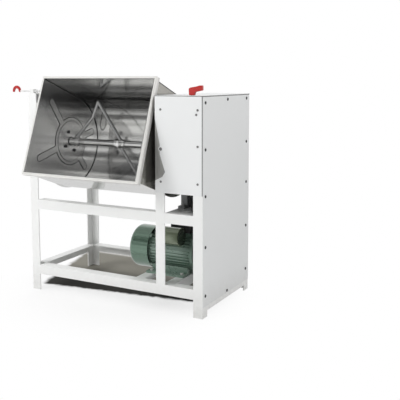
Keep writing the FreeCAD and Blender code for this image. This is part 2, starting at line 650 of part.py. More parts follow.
# The frame: four legs, two short posts under the housing, and the rails between them.
node("leg_front_left", angle_bar("leg_front_left", "0", "0", "0", "+X", "+Y", "frame_height"))
node("leg_rear_left", angle_bar("leg_rear_left", "0", "frame_depth", "0", "-Y", "+X", "frame_height"))
node("leg_front_right", drilled(angle_bar(
    "leg_front_right", "frame_width", "0", "0", "+Y", "-X", "frame_height"), holes["leg_front_right"]))
node("leg_rear_right", drilled(angle_bar(
    "leg_rear_right", "frame_width", "frame_depth", "0", "-X", "-Y", "frame_height"),
    holes["leg_rear_right"]))
node("housing_posts", group([
    angle_bar("post_front", "housing_left", "0", "lower_rail_top", "+X", "+Y", "post_top - lower_rail_top"),
    drilled(angle_bar("post_rear", "housing_left", "frame_depth", "lower_rail_top", "-Y", "+X",
                      "post_top - lower_rail_top"), holes["post_rear"])]))
node("lower_rail_front", angle_bar(
    "lower_rail_front", "angle_leg", "0", "lower_rail_top", "-Z", "+Y", "frame_width - 2 * angle_leg"))
node("lower_rail_rear", angle_bar(
    "lower_rail_rear", "angle_leg", "frame_depth", "lower_rail_top", "-Y", "-Z",
    "frame_width - 2 * angle_leg"))
node("lower_rail_left", angle_bar(
    "lower_rail_left", "0", "angle_leg", "lower_rail_top", "+X", "-Z", "inner_depth"))
node("lower_rail_right", drilled(angle_bar(
    "lower_rail_right", "frame_width", "angle_leg", "side_rail_top", "-Z", "-X", "inner_depth"),
    holes["lower_rail_right"]))
node("front_mid_rail", angle_bar(
    "front_mid_rail", "angle_leg", "0", "mid_rail_top", "-Z", "+Y", "housing_left - angle_leg"))
node("housing_mid_rails", group([
    angle_bar("housing_mid_rail_front", "drive_rail_left", "0", "mid_rail_top", "-Z", "+Y",
              "drive_rail_right - drive_rail_left"),
    angle_bar("housing_mid_rail_rear", "drive_rail_left", "frame_depth", "mid_rail_top", "-Y", "-Z",
              "drive_rail_right - drive_rail_left")]))
node("side_top_rails", group([
    angle_bar("top_rail_left", "0", "angle_leg", "frame_height", "+X", "-Z", "inner_depth"),
    drilled(angle_bar("top_rail_right", "frame_width", "angle_leg", "frame_height", "-Z", "-X",
                      "inner_depth"), holes["top_rail_right"])]))
node("bearing_rails", group([
    drilled(angle_bar("bearing_rail_left", "0", "angle_leg", "bearing_rail_top", "+X", "-Z",
                      "inner_depth"), holes["bearing_rail_left"]),
    drilled(angle_bar("bearing_rail_right", "channel_inside", "channel_sheet", "bearing_rail_top", "+X",
                      "-Z", "frame_depth - 2 * channel_sheet"), holes["bearing_rail_right"])]))
CHANNEL_SECTION = [
    ("0", "0"), ("drive_channel", "0"), ("drive_channel", "angle_leg"),
    ("drive_channel - angle_wall", "angle_leg"), ("drive_channel - angle_wall", "angle_wall"),
    ("angle_wall", "angle_wall"), ("angle_wall", "angle_leg"), ("0", "angle_leg")]
drive_channel = put(padded("drive_channel", CHANNEL_SECTION, "inner_depth"), "drive_rail_left",
                    "angle_leg", "mid_rail_top", Rotation(WAY["+X"], WAY["-Z"], WAY["+Y"], "XYZ"))
node("drive_rails", group([
    drilled(drive_channel, holes["drive_rail_left"]),
    drilled(angle_bar("drive_rail_right", "drive_rail_right + drive_rail_out", "angle_leg",
                      "mid_rail_top", "-Z", "-X", "inner_depth"), holes["drive_rail_right"])]))
node("motor_rails", group([
    drilled(angle_bar("motor_rail_left", "foot_bolt_left - angle_leg / 2", "angle_leg", "lower_rail_top",
                      "+X", "-Z", "inner_depth"), holes["motor_rail_left"]),
    drilled(angle_bar("motor_rail_right", "foot_bolt_right + angle_leg / 2", "angle_leg",
                      "lower_rail_top", "-Z", "-X", "inner_depth"), holes["motor_rail_right"])]))

# The housing: a steel channel beside the trough, and painted sheet covers on its other sides.
channel_web = block("housing_left", "0", "post_top", "channel_sheet", "frame_depth",
                    "frame_height - post_top")
channel_front = block("housing_left", "0", "post_top", "angle_leg", "channel_sheet",
                      "frame_height - post_top")
channel_rear = block("housing_left", "frame_depth - channel_sheet", "post_top", "angle_leg",
                     "channel_sheet", "frame_height - post_top")
channel_window = rod("X", "housing_left - 1", "axis_from_front", "axis_height",
                     "trunnion_radius + pass_gap", "channel_sheet + 2")
node("housing_channel", cut(fuse(channel_web, channel_front, channel_rear), channel_window,
                            *holes["channel"]))

FRONT_COVER_OUTLINE = [
    ("0", "front_cover_bottom"), ("housing_width", "front_cover_bottom"), ("housing_width", "frame_height"),
    ("0", "frame_height"), ("0", "notch_top"), ("notch_waist_in", "notch_waist_top"),
    ("notch_waist_in", "notch_waist_low"), ("notch_deep_in", "notch_deep_height"),
    ("notch_heel_in", "notch_heel_height"), ("0", "notch_bottom")]
front_sheet = put(padded("front_sheet", FRONT_COVER_OUTLINE, "cover_sheet"), "housing_left", "0", "0",
                  Rotation(WAY["+X"], WAY["+Z"], WAY["-Y"], "XYZ"))
front_tab = rod("-Y", "housing_left + front_screw_left", "0", "tab_screw_height", "tab_radius",
                "cover_sheet")
node("front_cover", cut(fuse(front_sheet, front_tab), *holes["front_cover"]))
node("side_cover", cut(block(
    "frame_width", "0", "side_cover_bottom", "cover_sheet", "frame_depth",
    "frame_height - side_cover_bottom"), *holes["side_cover"]))
node("rear_cover", cut(block(
    "housing_left", "frame_depth", "side_cover_bottom", "housing_width", "cover_sheet",
    "frame_height - side_cover_bottom"), *holes["rear_cover"]))
node("top_cover", cut(
    block("housing_left", "-cover_sheet", "frame_height", "housing_width + cover_sheet",
          "frame_depth + 2 * cover_sheet", "cover_sheet"),
    rod("Z", "switch_x", "switch_from_front", "frame_height - 1", "switch_spindle + hole_gap",
        "cover_sheet + 2")))

# The trough, drawn with its mouth up: a folded U sheet between two end plates, inside a folded rim.
outer_half = block("drum_left", "-drum_outside", "0", "trough_length", "2 * drum_outside", "mouth_height")
outer_drum = rod("X", "drum_left", "0", "0", "drum_outside", "trough_length")
inner_half = block("drum_left - 1", "-trough_radius", "0", "trough_length + 2", "2 * trough_radius",
                   "mouth_height + 1")
inner_drum = rod("X", "drum_left - 1", "0", "0", "trough_radius", "trough_length + 2")
trough_node("trough_shell", cut(fuse(outer_half, outer_drum), inner_half, inner_drum))

hub_holes = []
for y_sign in ("-", ""):
    for z_sign in ("-", ""):
        hub_holes.append(rod("X", "trunnion_start", f"{y_sign}hub_bolt_offset", f"{z_sign}hub_bolt_offset",
                             "bolt_radius + hole_gap", "spider_face + 1 - trunnion_start"))
plate_half = block("wall_left", "-drum_outside", "0", "end_wall_sheet", "2 * drum_outside", "mouth_height")
plate_drum = rod("X", "wall_left", "0", "0", "end_wall_radius", "end_wall_sheet")
plate_hole = rod("X", "wall_left - 1", "0", "0", "seal_radius + seat_gap", "spider_face - wall_left + 2")
end_wall = cut(fuse(plate_half, plate_drum), plate_hole, *hub_holes)
trough_node("end_wall_left", group([end_wall]))


def spider_arm(angle, reach):
    """One rounded arm of the spider, from the shaft axis, turned from the mouth's direction."""
    half = "(spider_arm / 2)"
    bar = block("drum_left", f"-{half} * cos({angle})", f"-{half} * sin({angle})", "spider_sheet",
                "spider_arm", f"{reach} - {half}")
    bar.Placement = Placement(Vector(), Rotation(Vector(1, 0, 0), 1))
    bind(bar, "Placement.Rotation.Angle", angle)
    tip = rod("X", "drum_left", f"-({reach} - {half}) * sin({angle})", f"({reach} - {half}) * cos({angle})",
              half, "spider_sheet")
    return [bar, tip]


arms = []
for sign in ("", "-"):
    arms += spider_arm(f"({sign}long_arm_angle)", "long_arm_reach")
    arms += spider_arm(f"({sign}short_arm_angle)", "short_arm_reach")
spider_left = cut(fuse(rod("X", "drum_left", "0", "0", "spider_disc", "spider_sheet"),
                       rod("X", "drum_left", "0", "0", "spider_boss", "2 * spider_sheet"), *arms),
                  plate_hole, *hub_holes)
trough_node("spider_plates", group([spider_left, mirrored(spider_left)]))

# The rim is a flat face round the mouth with a skirt folded down from its outer edge.
rim_length = "trough_length + 2 * end_wall_sheet + 2 * rim_face"
rim_block = block("rim_left", "-rim_half", "mouth_height - rim_skirt", rim_length, "2 * rim_half",
                  "rim_skirt")
rim_hollow = block("rim_left + rim_sheet", "-(rim_half - rim_sheet)", "mouth_height - rim_skirt - 1",
                   f"{rim_length} - 2 * rim_sheet", "2 * (rim_half - rim_sheet)",
                   "rim_skirt + 1 - rim_sheet")
rim_mouth = block("wall_left", "-drum_outside", "mouth_height - rim_skirt - 1",
                  "trough_length + 2 * end_wall_sheet", "2 * drum_outside", "rim_skirt + 2")
trough_node("trough_rim", cut(rim_block, rim_hollow, rim_mouth))

# Each end carries a flanged trunnion tube that turns in a pillow block, with the shaft's bush in
# it and a rubber seal where the shaft enters the trough.
trunnion_body = fuse(rod("X", "wall_left - hub_thick", "0", "0", "hub_radius", "hub_thick"),
                     rod("X", "trunnion_start", "0", "0", "trunnion_radius", "wall_left - trunnion_start"))
trunnion_left = cut(trunnion_body, rod("X", "trunnion_start - 1", "0", "0", "bush_radius + seat_gap",
                                       "wall_left - trunnion_start + 2"), *hub_holes)
bush_left = cut(rod("X", "trunnion_start", "0", "0", "bush_radius", "wall_left - trunnion_start"),
                rod("X", "trunnion_start - 1", "0", "0", "shaft_radius + running_gap",
                    "wall_left - trunnion_start + 2"))
seal_left = cut(rod("X", "wall_left", "0", "0", "seal_radius", "spider_face + seal_proud - wall_left"),
                rod("X", "wall_left - 1", "0", "0", "shaft_radius + running_gap",
                    "spider_face + seal_proud - wall_left + 2"))
hub_bolts = []
for y_sign in ("-", ""):
    for z_sign in ("-", ""):
        spot = (f"{y_sign}hub_bolt_offset", f"{z_sign}hub_bolt_offset")
        start = "wall_left - hub_thick - bolt_head_height - bolt_tail"
        hub_bolts.append(fuse(
            hexagon("X", "spider_face", *spot, "bolt_head", "bolt_head_height"),
            rod("X", start, *spot, "bolt_radius", f"spider_face - ({start})"),
            hexagon("X", "wall_left - hub_thick - bolt_head_height", *spot, "bolt_head",
                    "bolt_head_height")))
hub_bolts_left = group(hub_bolts)

# The right end is the left one mirrored, with a longer tube that reaches the housing's bearing.
right_tube_end = "right_block_start + block_width + tube_proud"
right_start = "2 * trough_middle - wall_left"
trunnion_right = cut(
    fuse(rod("X", right_start, "0", "0", "hub_radius", "hub_thick"),
         rod("X", right_start, "0", "0", "trunnion_radius", f"{right_tube_end} - ({right_start})")),
    rod("X", f"{right_start} - 1", "0", "0", "bush_radius + seat_gap",
        f"{right_tube_end} - ({right_start}) + 2"),
    mirrored(group(hub_holes)))
trough_node("trunnions", group([trunnion_left, trunnion_right]))
bush_right = cut(
    rod("X", right_start, "0", "0", "bush_radius", f"{right_tube_end} - ({right_start})"),
    rod("X", f"{right_start} - 1", "0", "0", "shaft_radius + running_gap",
        f"{right_tube_end} - ({right_start}) + 2"))
trough_node("end_wall_right", mirrored(end_wall))
trough_node("shaft_bushes", group([bush_left, bush_right]))
trough_node("shaft_seals", group([seal_left, mirrored(seal_left)]))
trough_node("hub_bolts", group([hub_bolts_left, mirrored(hub_bolts_left)]))

# The lock plate is welded outside the left end wall. Its hole meets the lock pin when the trough
# stands upright.
lock_plate = cut(
    block("wall_left - lock_plate_thick", "-lock_hole_forward - lock_plate_side_edge",
          "lock_hole_up - lock_plate_side / 2", "lock_plate_thick", "lock_plate_side",
          "lock_plate_side / 2 + lock_plate_edge"),
    rod("X", "wall_left - lock_plate_thick - 1", "-lock_hole_forward", "lock_hole_up",
        "lock_pin_radius + lock_hole_gap", "lock_plate_thick + 2"))
trough_node("lock_plate", lock_plate)

# Pillow blocks for the two trunnions.
pillow_blocks = []
for side, start in (("left", "block_from_wall"), ("right", "right_block_start")):
    foot = block(start, "axis_from_front - block_foot / 2", "bearing_rail_top", "block_width", "block_foot",
                 "block_foot_thick")
    neck = block(start, "axis_from_front - block_radius", "bearing_rail_top", "block_width",
                 "2 * block_radius", "block_height")
    head = rod("X", start, "axis_from_front", "axis_height", "block_radius", "block_width")
    bore = rod("X", f"{start} - 1", "axis_from_front", "axis_height", "trunnion_radius + running_gap",
               "block_width + 2")
    pillow_blocks.append(cut(fuse(foot, neck, head), bore, *holes[f"pillow_{side}"]))
node("pillow_blocks", group(pillow_blocks))

# The kneading shaft runs from the left trunnion to the main gear inside the housing.
node("kneading_shaft", rod(
    "X", "trunnion_start - shaft_proud", "axis_from_front", "axis_height", "shaft_radius",
    "gear_left + gear_face + gear_boss_proud - trunnion_start + shaft_proud"))

# Three clamp collars hold the paddle. The outer two grip one bar's end each, and the middle one
# grips both bars. Each has split ears with a clamp bolt, turned to the side that has no bar.
axis_y = number("axis_from_front")
axis_z = number("axis_height")
left_collar = number("collar_left_middle")
middle_collar = number("trough_middle")
COLLARS = ((left_collar, 0), (middle_collar, -90), (2 * middle_collar - left_collar, 180))


def bar_path(flip):
    """The paddle bar's corners from its outer collar to the middle one."""
    sunk_end = number("collar_radius") - number("bar_sunk")
    stops = [(left_collar, sunk_end),
             (left_collar + number("bar_bend_along"), number("bar_bend_out")),
             (left_collar + number("bar_peak_along"), number("bar_peak_out")),
             (middle_collar, sunk_end)]
    if flip:
        stops = [(2 * middle_collar - x, -out) for x, out in stops]
    return [Vector(x, axis_y, axis_z + out) for x, out in stops]


def round_bar(points, radius):
    """A bent round bar: straight cylinders with a ball in each bend, its ends fitted to the shaft."""
    pieces = []
    for start, end in zip(points, points[1:]):
        pieces.append(Part.makeCylinder(radius, start.distanceToPoint(end), start, end - start))
    for bend in points[1:-1]:
        pieces.append(Part.makeSphere(radius, bend))
    shaft_space = Part.makeCylinder(number("shaft_radius") + number("seat_gap"), number("trough_length"),
                                    Vector(number("drum_left"), axis_y, axis_z), Vector(1, 0, 0))
    return pieces[0].fuse(pieces[1:]).removeSplitter().cut(shaft_space)


def shape_node(label, shape):
    """A piece whose shape is worked out here from the sheet's values."""
    item = doc.addObject("Part::Feature", label)
    item.Shape = shape
    return node(label, item)


def collar_and_bolt(middle, turn):
    """One clamp collar with its ears downwards, and its bolt, turned about the shaft."""
    width = number("collar_width")
    ear_width = number("clamp_ear_width")
    ear_thick = number("clamp_ear_thick")
    ear_height = number("clamp_ear_height")
    bolt_radius = number("clamp_bolt")
    centre = Vector(middle, axis_y, axis_z)
    along = Vector(1, 0, 0)
    ring = Part.makeCylinder(number("collar_radius"), width, centre - along * (width / 2), along)
    ears = Part.makeBox(ear_width, ear_thick, ear_height,
                        centre - Vector(ear_width / 2, ear_thick / 2, ear_height))
    bore = Part.makeCylinder(number("shaft_radius") + number("seat_gap"), width + 2,
                             centre - along * (width / 2 + 1), along)
    reach = ear_thick / 2 + number("clamp_bolt_proud")
    bolt_start = centre - Vector(0, reach, ear_height - number("clamp_bolt_edge"))
    bolt = Part.makeCylinder(bolt_radius, 2 * reach, bolt_start, Vector(0, 1, 0))
    bolt_hole = Part.makeCylinder(bolt_radius + number("seat_gap"), 2 * reach, bolt_start,
                                  Vector(0, 1, 0))
    heads = []
    for way in (-1, 1):
        corners = []
        for corner in range(7):
            angle = math.radians(60 * corner)
            corners.append(Vector(
                middle + number("clamp_head") * math.cos(angle), axis_y + way * ear_thick / 2,
                bolt_start.z + number("clamp_head") * math.sin(angle)))
        heads.append(Part.Face(Part.makePolygon(corners)).extrude(
            Vector(0, way * number("clamp_head_height"), 0)))
    collar = ring.fuse(ears).cut(bore).cut(bolt_hole)
    bolt = bolt.fuse(heads)
    collar.rotate(centre, along, turn)
    bolt.rotate(centre, along, turn)
    return collar, bolt


bars = {"paddle_bar_left": round_bar(bar_path(False), number("bar_radius")),
        "paddle_bar_right": round_bar(bar_path(True), number("bar_radius"))}
collars = []
collar_bolts = []
for middle, turn in COLLARS:
    collar, bolt = collar_and_bolt(middle, turn)
    for bar in bars.values():
        collar = collar.cut(bar)
    collars.append(collar)
    collar_bolts.append(bolt)
shape_node("paddle_collars", Part.makeCompound(collars))
shape_node("collar_bolts", Part.makeCompound(collar_bolts))
for label, bar in bars.items():
    shape_node(label, bar)

# Spur gears with involute teeth. The main gear has a tooth on the line of centres and the pinion
# has a gap there.
PRESSURE_ANGLE = math.radians(20)
FLANK_STEPS = 4


def involute(angle):
    return math.tan(angle) - angle


def gear_face(teeth, heading, tooth_on_heading, centre):
    """The toothed outline in the plane X 0, as a face."""
    module = number("tooth_module")
    pitch = module * teeth / 2
    base = pitch * math.cos(PRESSURE_ANGLE)
    tip = pitch + module
    root = pitch - 1.25 * module
    half_tooth = math.pi / (2 * teeth) - number("gear_backlash") / (4 * pitch)
    first = max(base, root)
    flank = []
    for step in range(FLANK_STEPS + 1):
        radius = first + (tip - first) * step / FLANK_STEPS
        angle = half_tooth + involute(PRESSURE_ANGLE) - involute(math.acos(min(1, base / radius)))
        flank.append((radius, angle))
    if root < first:
        flank.insert(0, (root, flank[0][1]))
    start = heading + (0 if tooth_on_heading else math.pi / teeth)
    corners = []
    for tooth in range(teeth):
        middle = start + 2 * math.pi * tooth / teeth
        corners += [(radius, middle - angle) for radius, angle in flank]
        corners += [(radius, middle + angle) for radius, angle in reversed(flank)]
    points = [Vector(0, centre[0] + radius * math.cos(angle), centre[1] + radius * math.sin(angle))
              for radius, angle in corners]
    return Part.Face(Part.makePolygon(points + points[:1]))


def gear_solid(face, start, width, bore, centre, boss):
    solid = face.translated(Vector(start, 0, 0)).extrude(Vector(width, 0, 0))
    if boss:
        solid = solid.fuse(Part.makeCylinder(boss, width + number("gear_boss_proud"),
                                             Vector(start, *centre), Vector(1, 0, 0)))
    return solid.cut(Part.makeCylinder(bore, 2 * width, Vector(start - width / 4, *centre), Vector(1, 0, 0)))


main_centre = (axis_y, axis_z)
counter_centre = (number("counter_across"), number("counter_height"))
down_line = math.atan2(counter_centre[1] - main_centre[1], counter_centre[0] - main_centre[0])
gear_start = number("gear_left")
gear_width = number("gear_face")
main_gear = gear_solid(gear_face(int(number("gear_teeth")), down_line, True, main_centre), gear_start,
                       gear_width, number("shaft_radius") + number("seat_gap"), main_centre,
                       number("gear_boss"))
ring_inner = number("tooth_module") * number("gear_teeth") / 2 - number("gear_rim")
web = number("gear_web")
for start in (gear_start - 1, gear_start + (gear_width + web) / 2):
    recess = Part.makeCylinder(ring_inner, (gear_width - web) / 2 + 1, Vector(start, *main_centre),
                               Vector(1, 0, 0))
    recess = recess.cut(Part.makeCylinder(number("gear_boss"), gear_width, Vector(start - 1, *main_centre),
                                          Vector(1, 0, 0)))
    main_gear = main_gear.cut(recess)
shape_node("main_gear", main_gear)
shape_node("pinion", gear_solid(
    gear_face(int(number("pinion_teeth")), down_line + math.pi, False, counter_centre),
    gear_start - number("pinion_extra") / 2, gear_width + number("pinion_extra"),
    number("counter_radius") + number("seat_gap"), counter_centre, None))

# The countershaft stands on two pedestal bearings, on the rails at the frame's middle height.
node("countershaft", rod("X", "counter_left", "counter_across", "counter_height", "counter_radius",
                         "counter_right - counter_left"))
pedestals = []
for side in ("left", "right"):
    start = f"pedestal_{side}"
    foot = block(start, "counter_across - pedestal_foot / 2", "mid_rail_top", "pedestal_width",
                 "pedestal_foot", "pedestal_foot_thick")
    column = block(start, "counter_across - pedestal_column / 2", "mid_rail_top", "pedestal_width",
                   "pedestal_column", "counter_height - mid_rail_top")
    head = rod("X", start, "counter_across", "counter_height", "pedestal_radius", "pedestal_width")
    bore = rod("X", f"{start} - 1", "counter_across", "counter_height", "counter_radius + running_gap",
               "pedestal_width + 2")
    pedestals.append(cut(fuse(foot, column, head), bore, *holes[start]))
node("pedestal_bearings", group(pedestals))


def pulley(y, z, radius, bore):
    """A pulley with two V grooves, built up as lands, cones and groove floors."""
    pieces = []
    slope = "((groove_top - groove_floor) / 2)"
    floor = f"({radius} - groove_depth)"
    x = "pulley_left"
    for groove in range(2):
        pieces.append(rod("X", x, y, z, radius, "pulley_land"))
        x += " + pulley_land"
        pieces.append(cone("X", x, y, z, radius, floor, slope))
        x += f" + {slope}"
        pieces.append(rod("X", x, y, z, floor, "groove_floor"))
        x += " + groove_floor"
        pieces.append(cone("X", x, y, z, floor, radius, slope))
        x += f" + {slope}"
    pieces.append(rod("X", x, y, z, radius, "pulley_land"))
    return cut(fuse(*pieces), rod("X", "pulley_left - 1", y, z, f"{bore} + seat_gap", "pulley_width + 2"))


node("countershaft_pulley", pulley("counter_across", "counter_height", "large_pulley", "counter_radius"))
node("motor_pulley", pulley("axis_from_front", "motor_axis_height", "small_pulley", "motor_shaft_radius"))


def loop_face(first, first_radius, second, second_radius):
    """The outline of a tight band round two circles in the plane X 0, as a face."""
    line = math.atan2(second[1] - first[1], second[0] - first[0])
    distance = math.hypot(second[0] - first[0], second[1] - first[1])
    lean = math.acos((first_radius - second_radius) / distance)

    def spot(centre, radius, angle):
        return Vector(0, centre[0] + radius * math.cos(angle), centre[1] + radius * math.sin(angle))
    a, b = spot(first, first_radius, line + lean), spot(first, first_radius, line - lean)
    c, d = spot(second, second_radius, line - lean), spot(second, second_radius, line + lean)
    wire = Part.Wire([
        Part.Arc(a, spot(first, first_radius, line + math.pi), b).toShape(),
        Part.LineSegment(b, c).toShape(),
        Part.Arc(c, spot(second, second_radius, line), d).toShape(),
        Part.LineSegment(d, a).toShape()])
    return Part.Face(wire)


motor_centre = (axis_y, number("motor_axis_height"))
belt_gap = number("belt_gap")
floor_drop = number("groove_depth") - belt_gap
top_drop = number("belt_sunk")
belts = []
for groove in range(2):
    groove_start = number("pulley_left") + number("pulley_land") + groove * (
        number("pulley_land") + number("groove_top"))
    belt_start = groove_start + (number("groove_top") - number("groove_floor")) / 2 + belt_gap
    outer = loop_face(counter_centre, number("large_pulley") - top_drop, motor_centre,
                      number("small_pulley") - top_drop)
    inner = loop_face(counter_centre, number("large_pulley") - floor_drop, motor_centre,
                      number("small_pulley") - floor_drop)
    band = outer.cut(inner).translated(Vector(belt_start, 0, 0))
    belts.append(band.extrude(Vector(number("groove_floor") - 2 * belt_gap, 0, 0)))
shape_node("v_belts", Part.makeCompound(belts))

# The motor: a finned cast barrel on two long feet, end bells, a sheet fan cowl, a terminal box on
# a pad, a capacitor case on a saddle, and inside the stator and rotor cores, the shaft and the fan.
barrel = doc.addObject("PartDesign::Body", "motor_barrel_body")
ring_sketch = barrel.newObject("Sketcher::SketchObject", "barrel_ring")
ring_sketch.AttachmentSupport = [(body_plane(barrel, "XY_Plane"), "")]
ring_sketch.MapMode = "FlatFace"
ring_sketch.addGeometry(Part.Circle(Vector(), Vector(0, 0, 1), number("motor_barrel")))
ring_sketch.addConstraint(Sketcher.Constraint("Coincident", 0, 3, -1, 1))
row = ring_sketch.addConstraint(Sketcher.Constraint("Radius", 0, number("motor_barrel")))
ring_sketch.setExpression(f"Constraints[{row}]", link("motor_barrel"))
ring_pad = barrel.newObject("PartDesign::Pad", "barrel_pad")
ring_pad.Profile = ring_sketch
bind(ring_pad, "Length", "barrel_length")
fin_sketch = barrel.newObject("Sketcher::SketchObject", "fin_section")
fin_sketch.AttachmentSupport = [(body_plane(barrel, "XY_Plane"), "")]
fin_sketch.MapMode = "FlatFace"
fin_half = number("motor_fin_thick") / 2
fin_low = number("motor_barrel") - number("motor_fin_sunk")
fin_high = number("motor_barrel") + number("motor_fin")
fin_corners = [Vector(fin_low, -fin_half, 0), Vector(fin_high, -fin_half, 0), Vector(fin_high, fin_half, 0),
               Vector(fin_low, fin_half, 0)]
for corner in range(4):
    fin_sketch.addGeometry(Part.LineSegment(fin_corners[corner], fin_corners[(corner + 1) % 4]))
for corner in range(4):
    fin_sketch.addConstraint(joined_ends(corner, (corner + 1) % 4))
for edge, kind in ((0, "Horizontal"), (1, "Vertical"), (2, "Horizontal")):
    fin_sketch.addConstraint(Sketcher.Constraint(kind, edge))
fin_sketch.addConstraint(Sketcher.Constraint("Symmetric", 0, 1, 2, 2, -1))
for corner, (kind, formula, value) in enumerate((
        ("DistanceX", "motor_barrel - motor_fin_sunk", fin_low),
        ("DistanceX", "motor_barrel + motor_fin", fin_high),
        ("DistanceY", "motor_fin_thick / 2", fin_half))):
    row = fin_sketch.addConstraint(Sketcher.Constraint(kind, -1, 1, corner, 1, value))
    fin_sketch.setExpression(f"Constraints[{row}]", link(formula))
fin_pad = barrel.newObject("PartDesign::Pad", "fin_pad")
fin_pad.Profile = fin_sketch
bind(fin_pad, "Length", "barrel_length")
doc.recompute()
fins = barrel.newObject("PartDesign::PolarPattern", "fins")
fins.Originals = [fin_pad]
fins.Axis = (body_plane(barrel, "Z_Axis"), [""])
fins.Angle = 360
bind(fins, "Occurrences", "motor_fins")
barrel.Tip = fins
put(barrel, "barrel_left", "axis_from_front", "motor_axis_height", TURN["X"])

feet = []
for sign in ("-", "+"):
    centre = f"axis_from_front {sign} foot_pitch_across / 2"
    feet.append(block("foot_left", f"{centre} - foot_width / 2", "lower_rail_top", "foot_right - foot_left",
                      "foot_width", "foot_thick"))
    inner_edge = (f"{centre} + foot_width / 2 - foot_web_lap" if sign == "-"
                  else f"{centre} - foot_width / 2 + foot_web_lap - foot_web")
    feet.append(block("barrel_left", inner_edge, "lower_rail_top", "foot_right - barrel_left",
                      "foot_web", "foot_web_high"))
saddle_turn = "atan(capacitor_forward / capacitor_up)"
saddle = block("capacitor_left + saddle_inset", f"axis_from_front - saddle_width / 2 * cos({saddle_turn})",
               f"motor_axis_height - saddle_width / 2 * sin({saddle_turn})",
               "capacitor_length - 2 * saddle_inset",
               "saddle_width", "sqrt(capacitor_forward ^ 2 + capacitor_up ^ 2)")
saddle.Placement = Placement(Vector(), Rotation(Vector(1, 0, 0), 1))
bind(saddle, "Placement.Rotation.Angle", saddle_turn)
capacitor_spot = ("axis_from_front - capacitor_forward", "motor_axis_height + capacitor_up")
capacitor_bed = rod("X", "capacitor_left - pass_gap", *capacitor_spot, "capacitor_radius",
                    "capacitor_length + capacitor_tip + 2 * pass_gap")
barrel_bore = rod("X", "barrel_left - 1", "axis_from_front", "motor_axis_height",
                  "motor_barrel - motor_barrel_wall", "barrel_length + 2")
terminal_pad = block("terminal_start + terminal_pad", "axis_from_front - terminal_wide / 2 + terminal_pad",
                     "motor_axis_height", "terminal_long - 2 * terminal_pad",
                     "terminal_wide - 2 * terminal_pad", "terminal_up")
node("motor_frame", cut(fuse(barrel, saddle, terminal_pad, *feet), barrel_bore, capacitor_bed,
                        *holes["motor_frame"]))
node("terminal_box", fuse(
    block("terminal_start", "axis_from_front - terminal_wide / 2", "terminal_base", "terminal_long",
          "terminal_wide", "terminal_high - terminal_lid"),
    block("terminal_start + terminal_lid_in", "axis_from_front - terminal_wide / 2 + terminal_lid_in",
          "terminal_base", "terminal_long - 2 * terminal_lid_in", "terminal_wide - 2 * terminal_lid_in",
          "terminal_high")))
node("capacitor_case", fuse(
    rod("X", "capacitor_left", *capacitor_spot, "capacitor_radius", "capacitor_length"),
    rod("X", "capacitor_left + capacitor_length", *capacitor_spot, "capacitor_radius - capacitor_tip_in",
        "capacitor_tip")))

motor_axis = ("axis_from_front", "motor_axis_height")
bell_bore = rod("X", "bell_left - 1", *motor_axis, "motor_shaft_radius + running_gap",
                "motor_right - bell_left + 2")
lug_cross = []
for angle in (45, -45):
    lug = block("bell_left", "axis_from_front + cowl_lug", "motor_axis_height + cowl_lug",
                "bell_thick", "cowl_lug", "2 * cowl_radius")
    lug.Placement = Placement(Vector(), Rotation(Vector(1, 0, 0), angle))
    for prop, formula in (
            ("y", f"axis_from_front - cowl_lug / 2 * cos({angle}) + cowl_radius * sin({angle})"),
            ("z", f"motor_axis_height - cowl_lug / 2 * sin({angle}) - cowl_radius * cos({angle})")):
        bind(lug, "Placement.Base." + prop, formula)
    lug_cross.append(lug)
lugs = doc.addObject("Part::MultiCommon", "lugs")
lugs.Shapes = [fuse(*lug_cross), rod("X", "bell_left", *motor_axis, "cowl_radius - cowl_wall",
                                     "bell_thick")]
fan_bell = cut(fuse(rod("X", "bell_left", *motor_axis, "motor_barrel + bell_lip", "bell_thick"), lugs),
               bell_bore)
drive_bell = cut(rod("X", "barrel_right", *motor_axis, "motor_barrel + bell_lip", "bell_thick"),
                 bell_bore)
node("motor_end_bells", group([fan_bell, drive_bell]))
core_start = "barrel_left + core_inset"
core_length = "barrel_length - 2 * core_inset"
node("stator_core", cut(
    rod("X", core_start, *motor_axis, "motor_barrel - motor_barrel_wall - seat_gap", core_length),
    rod("X", f"{core_start} - 1", "axis_from_front", "motor_axis_height", "rotor_radius + rotor_gap",
        f"{core_length} + 2")))
node("rotor_core", cut(
    rod("X", core_start, "axis_from_front", "motor_axis_height", "rotor_radius", core_length),
    rod("X", f"{core_start} - 1", "axis_from_front", "motor_axis_height", "motor_shaft_radius + seat_gap",
        f"{core_length} + 2")))
node("motor_shaft", rod("X", "fan_left - shaft_proud", *motor_axis, "motor_shaft_radius",
                        "pulley_left + pulley_width - fan_left + 2 * shaft_proud"))

cowl_outside = rod("X", "cowl_left", "axis_from_front", "motor_axis_height", "cowl_radius", "cowl_length")
cowl_inside = rod("X", "cowl_left + cowl_wall", "axis_from_front", "motor_axis_height",
                  "cowl_radius - cowl_wall", "cowl_length + 1")
doc.recompute()


def rounded_end(item, radius):
    """Round the circular edge at the cylinder's first face."""
    start = item.Shape.BoundBox.XMin
    edges = [count for count, edge in enumerate(item.Shape.Edges, start=1)
             if edge.BoundBox.XMax - start < 0.01]
    rounding = doc.addObject("Part::Fillet", "rounding")
    rounding.Base = item
    rounding.Edges = [(edges[0], radius, radius)]
    return rounding


